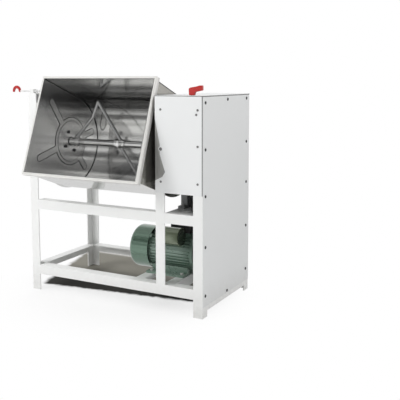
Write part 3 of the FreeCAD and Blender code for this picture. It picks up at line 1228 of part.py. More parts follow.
# The cowl's closed end has an air intake of concentric slots, and a ring of the bell carries it.
intake_slots = []
for slot in range(3):
    outer_slot = rod("X", "cowl_left - 1", "axis_from_front", "motor_axis_height",
                     f"cowl_intake - {slot} * intake_pitch", "cowl_wall + 2")
    inner_slot = rod("X", "cowl_left - 2", "axis_from_front", "motor_axis_height",
                     f"cowl_intake - {slot} * intake_pitch - intake_slot", "cowl_wall + 4")
    intake_slots.append(cut(outer_slot, inner_slot))
spokes = fuse(
    block("cowl_left - 3", "axis_from_front - intake_slot / 2", "motor_axis_height - cowl_radius",
          "cowl_wall + 6", "intake_slot", "2 * cowl_radius"),
    block("cowl_left - 3", "axis_from_front - cowl_radius", "motor_axis_height - intake_slot / 2",
          "cowl_wall + 6", "2 * cowl_radius", "intake_slot"))
node("fan_cowl", cut(rounded_end(cowl_outside, number("cowl_round")),
                     rounded_end(cowl_inside, number("cowl_round") - number("cowl_wall")),
                     cut(fuse(*intake_slots), spokes)))

fan_centre = Vector(number("fan_left"), axis_y, number("motor_axis_height"))
fan_hub = Part.makeCylinder(number("fan_hub"), number("fan_length"), fan_centre, Vector(1, 0, 0))
blade_count = int(number("fan_blades"))
fan_pieces = []
for blade in range(blade_count):
    vane = Part.makeBox(number("fan_length"), number("fan_blade"),
                        number("fan_radius") - number("fan_hub") + number("fan_blade_sunk"),
                        fan_centre + Vector(0, -number("fan_blade") / 2,
                                            number("fan_hub") - number("fan_blade_sunk")))
    vane.rotate(fan_centre, Vector(1, 0, 0), 360 * blade / blade_count)
    fan_pieces.append(vane)
fan_plate = Part.makeCylinder(
    number("fan_radius"), number("fan_plate"),
    fan_centre + Vector(number("fan_length") - number("fan_plate"), 0, 0), Vector(1, 0, 0))
fan_bore = Part.makeCylinder(number("motor_shaft_radius") + number("seat_gap"), number("fan_length") + 2,
                             fan_centre - Vector(1, 0, 0), Vector(1, 0, 0))
shape_node("cooling_fan", fan_hub.fuse(fan_pieces + [fan_plate]).cut(fan_bore).removeSplitter())

# The reversing switch hangs under the top cover, and its red lever stands on the spindle above.
node("switch_case", fuse(
    block("switch_x - switch_case_long / 2", "switch_from_front - switch_case_deep / 2",
          "frame_height - switch_case_high", "switch_case_long", "switch_case_deep", "switch_case_high"),
    rod("Z", "switch_x", "switch_from_front", "frame_height - 1", "switch_spindle",
        "cover_sheet + spindle_proud + 1")))
lever_base = "frame_height + cover_sheet + lever_gap"
lever_bar = block("switch_x - lever_stem", "switch_from_front - lever_bar_deep / 2",
                  f"{lever_base} + lever_stem_high - lever_bar_high", "lever_bar_long", "lever_bar_deep",
                  "lever_bar_high")
lever_bar.Placement = Placement(Vector(), Rotation(Vector(0, -1, 0), 1))
bind(lever_bar, "Placement.Rotation.Angle", "lever_rise")
node("switch_lever", cut(
    fuse(rod("Z", "switch_x", "switch_from_front", lever_base, "lever_stem", "lever_stem_high"), lever_bar),
    rod("Z", "switch_x", "switch_from_front", f"{lever_base} - 1", "switch_spindle + running_gap",
        "spindle_proud + 1")))

# The trough's lock: a sliding pin in a guide on top of the left front leg, with a hooked red grip.
# A collar on the pin stops it at the guide when it is pulled out.
lock_base_top = "frame_height + lock_base_thick"
node("lock_bracket", cut(
    fuse(block("0", "0", "frame_height", "lock_base", "lock_base", "lock_base_thick"),
         block("lock_guide_in", "lock_from_front - lock_guide_deep / 2", lock_base_top, "lock_guide_width",
               "lock_guide_deep", "2 * (lock_pin_radius + lock_guide_wall)")),
    rod("X", "lock_guide_in - 1", "lock_from_front", "lock_axis_height", "lock_pin_radius + running_gap",
        "lock_guide_width + 2")))
node("lock_pin", fuse(
    rod("X", "-lock_reach", "lock_from_front", "lock_axis_height", "lock_pin_radius",
        "lock_tip + lock_reach"),
    rod("X", "lock_collar_left", "lock_from_front", "lock_axis_height", "lock_collar",
        "lock_collar_width")))
hook = doc.addObject("Part::Torus", "hook")
hook.Angle3 = 180
bind(hook, "Radius1", "grip_bend")
bind(hook, "Radius2", "grip_radius")
put(hook, "-lock_reach - grip_bend", "lock_from_front", "lock_axis_height", TURN["-Y"])
node("lock_grip", cut(
    fuse(hook, ball("-lock_reach", "lock_from_front", "lock_axis_height", "grip_radius"),
         ball("-lock_reach - 2 * grip_bend", "lock_from_front", "lock_axis_height", "grip_radius")),
    rod("X", "-lock_reach", "lock_from_front", "lock_axis_height", "lock_pin_radius + seat_gap",
        "grip_radius + 2")))
doc.recompute()
failed = [item.Label for item in doc.Objects if {"Invalid", "Error"} & set(item.State)]
for item in nodes:
    if item.Shape.isNull() or not item.Shape.isValid() or not item.Shape.Solids:
        failed.append(item.Label + " has no sound shape")
if failed:
    raise SystemExit("failed: " + ", ".join(failed))

os.makedirs("parts", exist_ok=True)
for item in nodes:
    item.Shape.exportStep(f"parts/{item.Label}.step")
print(len(nodes), "sub-parts")
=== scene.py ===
import json
import math

import bmesh
import bpy
from mathutils import Matrix, Vector


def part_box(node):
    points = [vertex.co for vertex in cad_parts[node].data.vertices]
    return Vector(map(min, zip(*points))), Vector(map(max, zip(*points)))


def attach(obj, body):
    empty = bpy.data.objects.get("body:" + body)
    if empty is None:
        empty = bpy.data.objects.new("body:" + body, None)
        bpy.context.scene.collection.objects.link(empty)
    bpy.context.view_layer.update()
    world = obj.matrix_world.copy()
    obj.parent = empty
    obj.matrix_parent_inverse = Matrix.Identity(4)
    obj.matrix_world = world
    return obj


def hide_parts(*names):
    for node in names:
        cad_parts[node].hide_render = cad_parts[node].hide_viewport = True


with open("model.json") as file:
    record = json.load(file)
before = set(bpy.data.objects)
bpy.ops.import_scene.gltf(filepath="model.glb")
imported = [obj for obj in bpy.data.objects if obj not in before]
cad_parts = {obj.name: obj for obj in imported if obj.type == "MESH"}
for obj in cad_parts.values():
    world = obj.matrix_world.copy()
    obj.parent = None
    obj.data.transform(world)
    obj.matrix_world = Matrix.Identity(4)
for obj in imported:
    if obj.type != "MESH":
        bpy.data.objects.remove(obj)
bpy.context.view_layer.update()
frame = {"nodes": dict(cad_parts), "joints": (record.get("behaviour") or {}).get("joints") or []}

# Frame of angle steel: four legs, two short housing posts and the rails between them, butt welded
# and then powder coated white. The cut ends of the legs stand on the floor. The steel channel
# under the countershaft has the same coat.
FRAME_NODES = ["leg_front_left", "leg_rear_left", "leg_front_right", "leg_rear_right", "housing_posts",
               "lower_rail_front", "lower_rail_rear", "lower_rail_left", "lower_rail_right",
               "front_mid_rail", "housing_mid_rails", "side_top_rails", "bearing_rails", "drive_rails",
               "motor_rails"]


def new_material(name, finish):
    """A material whose even values are set on its Principled shader's own sockets."""
    material = bpy.data.materials.new(name)
    material.use_nodes = True
    shader = material.node_tree.nodes["Principled BSDF"]
    for socket, value in finish.items():
        shader.inputs[socket].default_value = value
    return material


def new_group(name, inputs, outputs):
    """A shader node group with named sockets, and its two end nodes."""
    tree = bpy.data.node_groups.new(name, "ShaderNodeTree")
    for socket, value in inputs.items():
        kind = "NodeSocketFloat" if isinstance(value, float) else "NodeSocketVector"
        tree.interface.new_socket(socket, in_out="INPUT", socket_type=kind).default_value = value
    for socket in outputs:
        tree.interface.new_socket(socket, in_out="OUTPUT", socket_type="NodeSocketFloat")
    return tree, tree.nodes.new("NodeGroupInput").outputs, tree.nodes.new("NodeGroupOutput").inputs


def add_node(tree, kind, inputs=None, **settings):
    """A node with its settings. Each input is a plain value or another node's output."""
    made = tree.nodes.new(kind)
    for name, value in settings.items():
        setattr(made, name, value)
    for socket, value in (inputs or {}).items():
        if isinstance(value, bpy.types.NodeSocket):
            tree.links.new(value, made.inputs[socket])
        else:
            made.inputs[socket].default_value = value
    return made


def add_math(tree, operation, first, second=0.0):
    return add_node(tree, "ShaderNodeMath", {0: first, 1: second}, operation=operation).outputs[0]


def effect(material, group, values=None):
    """The outputs of a node group that is placed in the material."""
    return add_node(material.node_tree, "ShaderNodeGroup", values, node_tree=group).outputs


def grey(value):
    return (value, value, value, 1)


def colour_between(material, mask, plain, other):
    """A colour that goes from plain to other with the mask."""
    mix = add_node(material.node_tree, "ShaderNodeMix", {"Factor": mask, 6: plain, 7: other},
                   data_type="RGBA")
    return mix.outputs[2]


def value_between(material, mask, low, high):
    return add_node(material.node_tree, "ShaderNodeMapRange",
                    {"Value": mask, "To Min": low, "To Max": high}).outputs["Result"]


def feed(material, socket, source):
    shader = material.node_tree.nodes["Principled BSDF"]
    material.node_tree.links.new(source, shader.inputs[socket])


def add_layer(material, mask, colour):
    """Lay a colour over what feeds the base colour so far, where the mask is 1."""
    below = material.node_tree.nodes["Principled BSDF"].inputs["Base Color"].links[0].from_socket
    feed(material, "Base Color", colour_between(material, mask, below, colour))


def feed_bump(material, height, strength, depth):
    """Relief of the given depth in metres on the material's surface."""
    bump = add_node(material.node_tree, "ShaderNodeBump",
                    {"Strength": strength, "Distance": depth, "Height": height})
    feed(material, "Normal", bump.outputs["Normal"])


def dress(nodes, material):
    """Give CAD nodes a material in every slot."""
    for name in nodes:
        mesh = frame["nodes"][name].data
        mesh.materials.clear()
        mesh.materials.append(material)


# Powder coat: a fine orange peel, and a slow drift of shade over the sheet.
powder_coat, coat_in, coat_out = new_group("powder coat", {"Peel Scale": 420.0, "Drift Scale": 2.6},
                                           ["Height", "Drift"])
coat_place = add_node(powder_coat, "ShaderNodeTexCoord").outputs["Object"]
peel = add_node(powder_coat, "ShaderNodeTexNoise",
                {"Vector": coat_place, "Scale": coat_in["Peel Scale"], "Detail": 2.0, "Roughness": 0.45})
drift = add_node(powder_coat, "ShaderNodeTexNoise",
                 {"Vector": coat_place, "Scale": coat_in["Drift Scale"], "Detail": 5.0, "Roughness": 0.6})
powder_coat.links.new(peel.outputs["Fac"], coat_out["Height"])
powder_coat.links.new(drift.outputs["Fac"], coat_out["Drift"])

# Edge wear and shade: a mask where the surface turns sharply, broken up by a noise. On coats and
# castings it is paint rubbed thin, on the collars painted shade along their rims.
edge_wear_and_shade, wear_in, wear_out = new_group("edge wear and shade", {"Width": 0.0015, "Amount": 1.0, "Break Scale": 60.0},
                                         ["Mask"])
wear_place = add_node(edge_wear_and_shade, "ShaderNodeTexCoord").outputs["Object"]
soft_normal = add_node(edge_wear_and_shade, "ShaderNodeBevel", {"Radius": wear_in["Width"]}, samples=4)
flat_normal = add_node(edge_wear_and_shade, "ShaderNodeNewGeometry").outputs["Normal"]
turning = add_node(edge_wear_and_shade, "ShaderNodeVectorMath", {0: soft_normal.outputs[0], 1: flat_normal},
                   operation="DOT_PRODUCT").outputs["Value"]
edge_line = add_node(edge_wear_and_shade, "ShaderNodeMapRange",
                     {"Value": turning, "From Min": 0.98, "From Max": 0.80}).outputs["Result"]
wear_noise = add_node(edge_wear_and_shade, "ShaderNodeTexNoise",
                      {"Vector": wear_place, "Scale": wear_in["Break Scale"], "Detail": 4.0})
wear_patches = add_node(edge_wear_and_shade, "ShaderNodeMapRange",
                        {"Value": wear_noise.outputs["Fac"], "From Min": 0.42, "From Max": 0.62})
worn = add_math(edge_wear_and_shade, "MULTIPLY", edge_line, wear_patches.outputs["Result"])
edge_wear_and_shade.links.new(add_math(edge_wear_and_shade, "MULTIPLY", worn, wear_in["Amount"]), wear_out["Mask"])

# Floor dirt and shade: a faint grey film that fades out with height above the floor, partly dirt and partly
# painted shade toward the floor.
floor_dirt_and_shade, dirt_in, dirt_out = new_group("floor dirt and shade", {"Reach": 0.16, "Amount": 0.5}, ["Mask"])
dirt_place = add_node(floor_dirt_and_shade, "ShaderNodeTexCoord").outputs["Object"]
dirt_height = add_node(floor_dirt_and_shade, "ShaderNodeSeparateXYZ", {0: dirt_place}).outputs["Z"]
dirt_fade = add_node(floor_dirt_and_shade, "ShaderNodeMapRange",
                     {"Value": dirt_height, "From Min": dirt_in["Reach"], "From Max": 0.0})
dirt_noise = add_node(floor_dirt_and_shade, "ShaderNodeTexNoise",
                      {"Vector": dirt_place, "Scale": 38.0, "Detail": 6.0})
dirt_spots = add_math(floor_dirt_and_shade, "MULTIPLY", dirt_fade.outputs["Result"], dirt_noise.outputs["Fac"])
floor_dirt_and_shade.links.new(add_math(floor_dirt_and_shade, "MULTIPLY", dirt_spots, dirt_in["Amount"]), dirt_out["Mask"])


def coated_steel(name, plain, drifted, roughness):
    """White powder coat on steel, with its peel, drift, dirt and painted shade near the floor, and rubbed
    edges.
    """
    material = new_material(name, {"IOR": 1.5, "Coat Weight": 0.12, "Coat Roughness": 0.2})
    coat = effect(material, powder_coat)
    dirt_and_shade = effect(material, floor_dirt_and_shade)
    wear = effect(material, edge_wear_and_shade, {"Amount": 0.5})
    clean = colour_between(material, coat["Drift"], plain, drifted)
    # Dirt and painted shade: a grey film low on the coat.
    feed(material, "Base Color", colour_between(material, dirt_and_shade["Mask"], clean, (0.42, 0.40, 0.37, 1)))
    add_layer(material, wear["Mask"], grey(0.60))
    feed(material, "Roughness", value_between(material, coat["Drift"], roughness - 0.05, roughness + 0.06))
    feed_bump(material, coat["Height"], 0.22, 0.00025)
    return material


frame_coat = coated_steel("frame powder coat", (0.86, 0.87, 0.86, 1), (0.83, 0.83, 0.82, 1), 0.40)
dress(FRAME_NODES, frame_coat)
for frame_node in FRAME_NODES:
    soft_edge = frame["nodes"][frame_node].modifiers.new("rolled edge", "BEVEL")
    soft_edge.width = 0.0016
    soft_edge.segments = 2
    soft_edge.limit_method = "ANGLE"
    soft_edge.angle_limit = math.radians(60)

# Covers of the drive housing: folded sheet, powder coated like the frame but a shade greyer, and
# screwed to the legs and the channel. The front one has a notch beside the tilting trough. Each
# cover has a painted shadow along its edges at one corner, and the side cover is painted darker as shade.
FAR_OUT = 9.0
COVER_ROUGHNESS = 0.34
COVER_SHADES = ((0.83, 0.84, 0.84, 1), (0.80, 0.81, 0.81, 1))
# The side cover's coat is painted darker: painted shade for the side that the front lamp lights less.
SIDE_PAINTED_SHADES = ((0.75, 0.76, 0.76, 1), (0.72, 0.73, 0.73, 1))

# Sheet edge: a band beside the faces that meet at a box's corner. A face put far out has none.
sheet_edge, edge_in, edge_out = new_group(
    "sheet edge", {"Corner": (FAR_OUT, FAR_OUT, FAR_OUT), "Width": 0.004}, ["Mask"])
edge_place = add_node(sheet_edge, "ShaderNodeTexCoord").outputs["Object"]
edge_gap = add_node(sheet_edge, "ShaderNodeVectorMath", {0: edge_in["Corner"], 1: edge_place},
                    operation="SUBTRACT").outputs["Vector"]
edge_parts = add_node(sheet_edge, "ShaderNodeSeparateXYZ", {0: edge_gap}).outputs
edge_level = add_math(sheet_edge, "MINIMUM", edge_parts["X"], edge_parts["Y"])
edge_nearest = add_math(sheet_edge, "MINIMUM", edge_level, edge_parts["Z"])
sheet_edge.links.new(add_math(sheet_edge, "LESS_THAN", edge_nearest, edge_in["Width"]), edge_out["Mask"])


def cover_sheet(node, shades, corner, painted_shadow_width):
    """A coated cover with a painted shadow along its edges at the corner where the next sheet meets it."""
    material = coated_steel(node + " coat", *shades, COVER_ROUGHNESS)
    # Painted shadow: a dark grey band along the edges at the corner.
    add_layer(material, effect(material, sheet_edge, {"Corner": corner, "Width": painted_shadow_width})["Mask"],
              grey(0.16))
    dress([node], material)


front_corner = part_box("front_cover")[1]
cover_sheet("front_cover", COVER_SHADES, (front_corner.x, FAR_OUT, front_corner.z), 0.0035)
cover_sheet("side_cover", SIDE_PAINTED_SHADES, (FAR_OUT, FAR_OUT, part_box("side_cover")[1].z), 0.005)
cover_sheet("rear_cover", COVER_SHADES, (FAR_OUT, FAR_OUT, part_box("rear_cover")[1].z), 0.003)
cover_sheet("top_cover", COVER_SHADES, (FAR_OUT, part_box("top_cover")[1].y, FAR_OUT), 0.012)

# Screws and bolts. The front cover has small dull zinc screws and the other covers black
# round-head ones. The bolts of the bearings, the collars and the motor's feet are bright zinc,
# and those of the trough's hubs are black.


def small_finish(name, finish, scales, shades, roughness, relief=None):
    """The finish of a small piece, with the scales of its peel and its drift.

    It drifts between two shades and two roughnesses. Relief is a strength and a depth."""
    material = new_material(name, finish)
    coat = effect(material, powder_coat, {"Peel Scale": scales[0], "Drift Scale": scales[1]})
    feed(material, "Base Color", colour_between(material, coat["Drift"], *shades))
    feed(material, "Roughness", value_between(material, coat["Drift"], *roughness))
    if relief:
        feed_bump(material, coat["Height"], *relief)
    return material


zinc_plate = small_finish("zinc plate", {"Metallic": 0.6}, (900.0, 45.0),
                          ((0.92, 0.91, 0.88, 1), (0.66, 0.66, 0.65, 1)), (0.18, 0.36), (0.2, 0.0001))
dress(["mounting_bolts", "collar_bolts"], zinc_plate)
screw_zinc = small_finish("dull zinc screw", {"Metallic": 0.8}, (700.0, 60.0),
                          ((0.30, 0.30, 0.29, 1), grey(0.16)), (0.3, 0.5))
dress(["front_cover_screws"], screw_zinc)
black_oxide = small_finish("black oxide screw", {"Specular IOR Level": 0.5}, (600.0, 80.0),
                           ((0.012, 0.012, 0.014, 1), (0.035, 0.035, 0.038, 1)), (0.28, 0.42))
dress(["dark_cover_screws", "hub_bolts"], black_oxide)

# Trough: a folded U of brushed stainless sheet, welded to two stainless end walls. The brushing
# runs along the shell, and the end walls have a finer, cloudier polish.
brushing, brush_in, brush_out = new_group(
    "brushing", {"Stretch": (3.0, 260.0, 260.0), "Cloud Scale": 7.0}, ["Height", "Lines", "Cloud"])
brush_place = add_node(brushing, "ShaderNodeTexCoord").outputs["Object"]
stretched = add_node(brushing, "ShaderNodeVectorMath", {0: brush_place, 1: brush_in["Stretch"]},
                     operation="MULTIPLY").outputs["Vector"]
hair_lines = add_node(brushing, "ShaderNodeTexNoise",
                      {"Vector": stretched, "Scale": 4.0, "Detail": 5.0, "Roughness": 0.7})
cloud = add_node(brushing, "ShaderNodeTexNoise", {
    "Vector": brush_place, "Scale": brush_in["Cloud Scale"], "Detail": 4.0, "Distortion": 0.6})
brushing.links.new(hair_lines.outputs["Fac"], brush_out["Height"])
brushing.links.new(hair_lines.outputs["Fac"], brush_out["Lines"])
brushing.links.new(cloud.outputs["Fac"], brush_out["Cloud"])


def stainless(name, bright, dull, roughness, stretch, metallic, relief=0.12, cloud_scale=7.0, zones=()):
    """Brushed stainless sheet. The clouds are the smears that handling and polishing leave.

    Each zone is a function that gives its mask, its shade and the shade of its lines."""
    material = new_material(name, {"Metallic": metallic})
    brush = effect(material, brushing, {"Stretch": stretch, "Cloud Scale": cloud_scale})
    lined = colour_between(material, brush["Lines"], dull, bright)
    smeared = colour_between(material, brush["Cloud"], lined, dull)
    for zone, shade, streak in zones:
        streaked = colour_between(material, brush["Lines"], shade, streak)
        smeared = colour_between(material, zone(material), smeared, streaked)
    feed(material, "Base Color", smeared)
    feed(material, "Roughness", value_between(material, brush["Cloud"], roughness - 0.04, roughness + 0.06))
    feed_bump(material, brush["Height"], relief, 0.0002)
    return material


tilt_joint = [joint for joint in frame["joints"] if joint["name"] == "trough_tilt"][0]
trough_tilt = math.radians(tilt_joint["range_deg"][1])
trough_place = (Matrix.Translation((0, tilt_joint["pos_m"][1], tilt_joint["pos_m"][2]))
                @ Matrix.Rotation(trough_tilt, 4, "X"))
DRUM_RADIUS = 0.253
SHELL_SHEET = 0.002
DRUM_BACK_START = -0.106
wall_outer_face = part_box("end_wall_right")[1].x - 0.0004

# The trough's own section: how far a point lies toward the mouth, across it, and from the axis of
# the drum or the middle of the straight walls.
section, section_in, section_out = new_group("trough section", {"Axis": tuple(trough_place.translation)},
                                             ["Along", "Across", "Radius", "X"])
section_place = add_node(section, "ShaderNodeTexCoord").outputs["Object"]
from_axis = add_node(section, "ShaderNodeVectorMath", {0: section_place, 1: section_in["Axis"]},
                     operation="SUBTRACT").outputs["Vector"]
toward_mouth = (0, -math.sin(trough_tilt), math.cos(trough_tilt))
section_along = add_node(section, "ShaderNodeVectorMath", {0: from_axis, 1: toward_mouth},
                         operation="DOT_PRODUCT").outputs["Value"]
toward_upper_wall = (0, math.cos(trough_tilt), math.sin(trough_tilt))
section_across = add_node(section, "ShaderNodeVectorMath", {0: from_axis, 1: toward_upper_wall},
                          operation="DOT_PRODUCT").outputs["Value"]
in_drum = add_math(section, "MINIMUM", section_along, 0.0)
drum_square = add_math(section, "MULTIPLY", in_drum, in_drum)
across_square = add_math(section, "MULTIPLY", section_across, section_across)
section_radius = add_math(section, "SQRT", add_math(section, "ADD", drum_square, across_square))
section.links.new(section_along, section_out["Along"])
section.links.new(section_across, section_out["Across"])
section.links.new(section_radius, section_out["Radius"])
section_parts = add_node(section, "ShaderNodeSeparateXYZ", {0: section_place}).outputs
section.links.new(section_parts["X"], section_out["X"])


def step_up(material, value, low, high):
    """0 below low and 1 above high, with a soft step between."""
    return add_node(material.node_tree, "ShaderNodeMapRange",
                    {"Value": value, "From Min": low, "From Max": high},
                    interpolation_type="SMOOTHSTEP").outputs["Result"]


def both(material, first, second):
    """What two masks share."""
    return add_math(material.node_tree, "MULTIPLY", first, second)


def painted_shade_band(material, fade_low, fade_high):
    """The drum's upper back, and the wall above it as far as the fade: a band of painted shade."""
    place = effect(material, section)
    begun = step_up(material, place["Along"], DRUM_BACK_START, DRUM_BACK_START + 0.006)
    faded = step_up(material, place["Along"], fade_low, fade_high)
    not_over = add_math(material.node_tree, "SUBTRACT", 1.0, faded)
    upper = step_up(material, place["Across"], 0.0, 0.05)
    return both(material, both(material, begun, not_over), upper)


def upper_wall_painted_shade(material):
    """Painted shade on the upper wall nearly up to the mouth, with the drum's upper back."""
    return painted_shade_band(material, 0.17, 0.28)


def drum_back_painted_shade(material):
    """Darker painted shade on the drum's upper back alone."""
    return painted_shade_band(material, 0.00, 0.12)


def wall_top_painted_shade(material):
    """Painted shade on the upper third of an end wall, like that on the wall beside it."""
    return step_up(material, effect(material, section)["Across"], 0.05, 0.19)


def outside_painted_shade(material):
    """Painted shade on the outside of the shell, darker toward the top."""
    place = effect(material, section)
    outside = step_up(material, place["Radius"], DRUM_RADIUS + 0.0006, DRUM_RADIUS + 0.0014)
    return both(material, outside, step_up(material, place["Across"], -0.14, 0.24))


def wall_outside(material):
    """The outer face of the right end wall, beside the housing."""
    return step_up(material, effect(material, section)["X"], wall_outer_face, wall_outer_face + 0.0003)


def wall_edge(material):
    """The edge of the right end wall's outer face, dark toward the top."""
    place = effect(material, section)
    edge = step_up(material, place["Radius"], DRUM_RADIUS - 0.004, DRUM_RADIUS - 0.002)
    high = step_up(material, place["Across"], 0.05, 0.15)
    return both(material, both(material, edge, high), wall_outside(material))


def wall_lip(material):
    """The upper part of the lip of an end wall round the shell, made dark."""
    place = effect(material, section)
    lip = step_up(material, place["Radius"], DRUM_RADIUS + 0.0022, DRUM_RADIUS + 0.003)
    return both(material, lip, step_up(material, place["Across"], 0.05, 0.15))


# Painted shade: the upper wall and, darker, the drum's upper back; the outside darker toward the top.
shell_steel = stainless("shell stainless", (0.95, 0.95, 0.94, 1), (0.86, 0.86, 0.85, 1), 0.09,
                        (3.0, 260.0, 260.0), metallic=0.97, zones=(
                            (upper_wall_painted_shade, grey(0.36), grey(0.46)),
                            (drum_back_painted_shade, grey(0.20), grey(0.27)),
                            (outside_painted_shade, (0.36, 0.355, 0.335, 1), (0.46, 0.455, 0.43, 1))))
# Painted shade: the end walls are darker on their upper third.
end_steel = stainless("end wall stainless", (0.97, 0.97, 0.96, 1), (0.90, 0.90, 0.89, 1), 0.20,
                      (160.0, 160.0, 12.0), metallic=0.88, zones=(
                          (wall_top_painted_shade, grey(0.38), grey(0.48)),
                          # Painted shade and reflection: the right wall's outer face is dark, with light
                          # streaks.
                          (wall_outside, (0.06, 0.06, 0.05, 1), (0.75, 0.73, 0.68, 1)),
                          (wall_edge, grey(0.02), grey(0.05)),
                          (wall_lip, grey(0.02), grey(0.05))))
dress(["trough_shell"], shell_steel)
dress(["end_wall_left", "end_wall_right"], end_steel)

# Seams of the trough: a thin weld along the inside of each joint between shell and end wall,
# darkened by the heat. They follow the U of the shell.


def upright_box(node):
    """Lowest and highest corner of a trough node, with the mouth up and the shaft axis at zero."""
    back = trough_place.inverted()
    spots = [back @ vertex.co for vertex in frame["nodes"][node].data.vertices]
    low = Vector([min(spot[axis] for spot in spots) for axis in range(3)])
    high = Vector([max(spot[axis] for spot in spots) for axis in range(3)])
    return low, high


def tube(name, points, radii, sides, closed=False):
    """A mesh object: a round tube along points, with a radius at each."""
    count = len(points)
    mesh = bpy.data.meshes.new(name)
    shape = bmesh.new()
    rings = []
    across = None
    for place, point in enumerate(points):
        before = points[place - 1] if place or closed else point
        after = points[(place + 1) % count] if place < count - 1 or closed else point
        along = (after - before).normalized()
        if across is None:
            across = along.orthogonal().normalized()
        across = (across - along * across.dot(along)).normalized()
        up = along.cross(across)
        ring = []
        for side in range(sides):
            angle = 2 * math.pi * side / sides
            offset = across * math.cos(angle) + up * math.sin(angle)
            ring.append(shape.verts.new(point + offset * radii[place]))
        rings.append(ring)
    pairs = list(zip(rings, rings[1:]))
    if closed:
        pairs.append((rings[-1], rings[0]))
    for first, second in pairs:
        for side in range(sides):
            turn = (side + 1) % sides
            shape.faces.new((first[side], first[turn], second[turn], second[side]))
    if not closed:
        shape.faces.new(list(reversed(rings[0])))
        shape.faces.new(rings[-1])
    bmesh.ops.recalc_face_normals(shape, faces=shape.faces)
    shape.to_mesh(mesh)
    shape.free()
    for face in mesh.polygons:
        face.use_smooth = True
    piece = bpy.data.objects.new(name, mesh)
    bpy.context.scene.collection.objects.link(piece)
    return piece


def on_trough(piece, material):
    """Put a piece that was drawn with the mouth up on the tilted trough."""
    piece.data.transform(trough_place)
    piece.data.materials.append(material)
    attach(piece, "trough")


SEAM_RADIUS = 0.0021
SEAM_INSET = 0.0008
SEAM_STEPS = 48
SEAM_END = 0.004
shell_low, shell_high = upright_box("trough_shell")
seam_reach = shell_high.y - SHELL_SHEET - SEAM_INSET
seam_top = shell_high.z - SEAM_END
weld_steel = stainless("weld seam", (0.05, 0.05, 0.048, 1), grey(0.015), 0.4, (90.0, 90.0, 90.0),
                       metallic=0.5)
for side, seam_x in (("left", shell_low.x + SEAM_INSET), ("right", shell_high.x - SEAM_INSET)):
    seam = [Vector((seam_x, -seam_reach, seam_top))]
    for step in range(SEAM_STEPS + 1):
        angle = math.pi + math.pi * step / SEAM_STEPS
        seam.append(Vector((seam_x, seam_reach * math.cos(angle), seam_reach * math.sin(angle))))
    seam.append(Vector((seam_x, seam_reach, seam_top)))
    on_trough(tube("trough_seam_" + side, seam, [SEAM_RADIUS] * len(seam), 8), weld_steel)

# Rim of the mouth: the sheet is folded out and down all round, with a soft bend at the fold and
# mitred corners. It has a brighter satin polish than the inside.
RIM_SHEET = 0.0015
RIM_BEND = 0.0035
FOLD_TURN = 1.0
rim_low, rim_high = upright_box("trough_rim")
rim_width = upright_box("end_wall_left")[0].x - rim_low.x


def rim_loop(shape, offset, height):
    """The four corners of the mouth, moved outward and to a height."""
    x_low, x_high = rim_low.x + rim_width - offset, rim_high.x - rim_width + offset
    y_low, y_high = rim_low.y + rim_width - offset, rim_high.y - rim_width + offset
    return [shape.verts.new((x, y, height)) for x, y in
            ((x_low, y_low), (x_high, y_low), (x_high, y_high), (x_low, y_high))]


rim_mesh = bpy.data.meshes.new("rim_fold")
rim_shape = bmesh.new()
rim_loops = [rim_loop(rim_shape, 0, rim_high.z), rim_loop(rim_shape, rim_width, rim_high.z),
             rim_loop(rim_shape, rim_width, rim_low.z)]
for first, second in zip(rim_loops, rim_loops[1:]):
    for corner in range(4):
        turn = (corner + 1) % 4
        rim_shape.faces.new((first[corner], second[corner], second[turn], first[turn]))
bmesh.ops.recalc_face_normals(rim_shape, faces=rim_shape.faces)
fold_edges = [edge for edge in rim_shape.edges if len(edge.link_faces) == 2
              and edge.calc_face_angle(0) > FOLD_TURN]
bmesh.ops.bevel(rim_shape, geom=fold_edges, offset=RIM_BEND, segments=5, profile=0.5, affect="EDGES")
if sum(face.normal.z * face.calc_area() for face in rim_shape.faces) < 0:
    bmesh.ops.reverse_faces(rim_shape, faces=rim_shape.faces)
rim_shape.to_mesh(rim_mesh)
rim_shape.free()
for face in rim_mesh.polygons:
    face.use_smooth = True
rim = bpy.data.objects.new("rim_fold", rim_mesh)
bpy.context.scene.collection.objects.link(rim)
thickness = rim.modifiers.new("sheet", "SOLIDIFY")
thickness.thickness = RIM_SHEET
thickness.offset = -1
rim_steel = stainless("rim stainless", (0.93, 0.92, 0.89, 1), (0.85, 0.84, 0.81, 1), 0.36,
                      (40.0, 300.0, 300.0), metallic=0.35)
on_trough(rim, rim_steel)
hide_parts("trough_rim")

# Spiders: a pressed stainless disc with four arms, spot welded to each end wall round the shaft,
# with a raised middle. Thin dark tubes round the plate's edge and its raised middle are painted shadow of
# these steps.
SPIDER_ARM = 0.036
SPIDER_DISC = 0.132
SPIDER_BOSS = 0.113
SPIDER_ARMS = ((35, 0.288), (-35, 0.288), (148, 0.215), (-148, 0.215))
SPIDER_STEP = 0.0015
EDGE_LINE_RADIUS = 0.0020
EDGE_LINE_OUT = 0.0006
EDGE_LINE_STEPS = 720
BOSS_LINE_RADIUS = 0.0014
BOSS_LINE_OUT = 0.0004
BOSS_LINE_STEPS = 96
spider_steel = stainless("spider stainless", (0.84, 0.84, 0.83, 1), (0.70, 0.70, 0.69, 1), 0.24,
                         (120.0, 40.0, 120.0), metallic=0.75)
dress(["spider_plates", "lock_plate"], spider_steel)


def spider_reach(angle):
    """Distance from the shaft to the spider's edge in one direction."""
    reach = SPIDER_DISC
    for arm_angle, tip in SPIDER_ARMS:
        turn = angle - math.radians(arm_angle)
        half = SPIDER_ARM / 2
        side = abs(math.sin(turn))
        if math.cos(turn) <= 0:
            continue
        centre = tip - half
        flank = half / side if side > 1e-6 else 1e9
        if flank * math.cos(turn) <= centre:
            reach = max(reach, flank)
        elif centre * side < half:
            reach = max(reach, centre * math.cos(turn) + math.sqrt(half ** 2 - (centre * side) ** 2))
    return reach
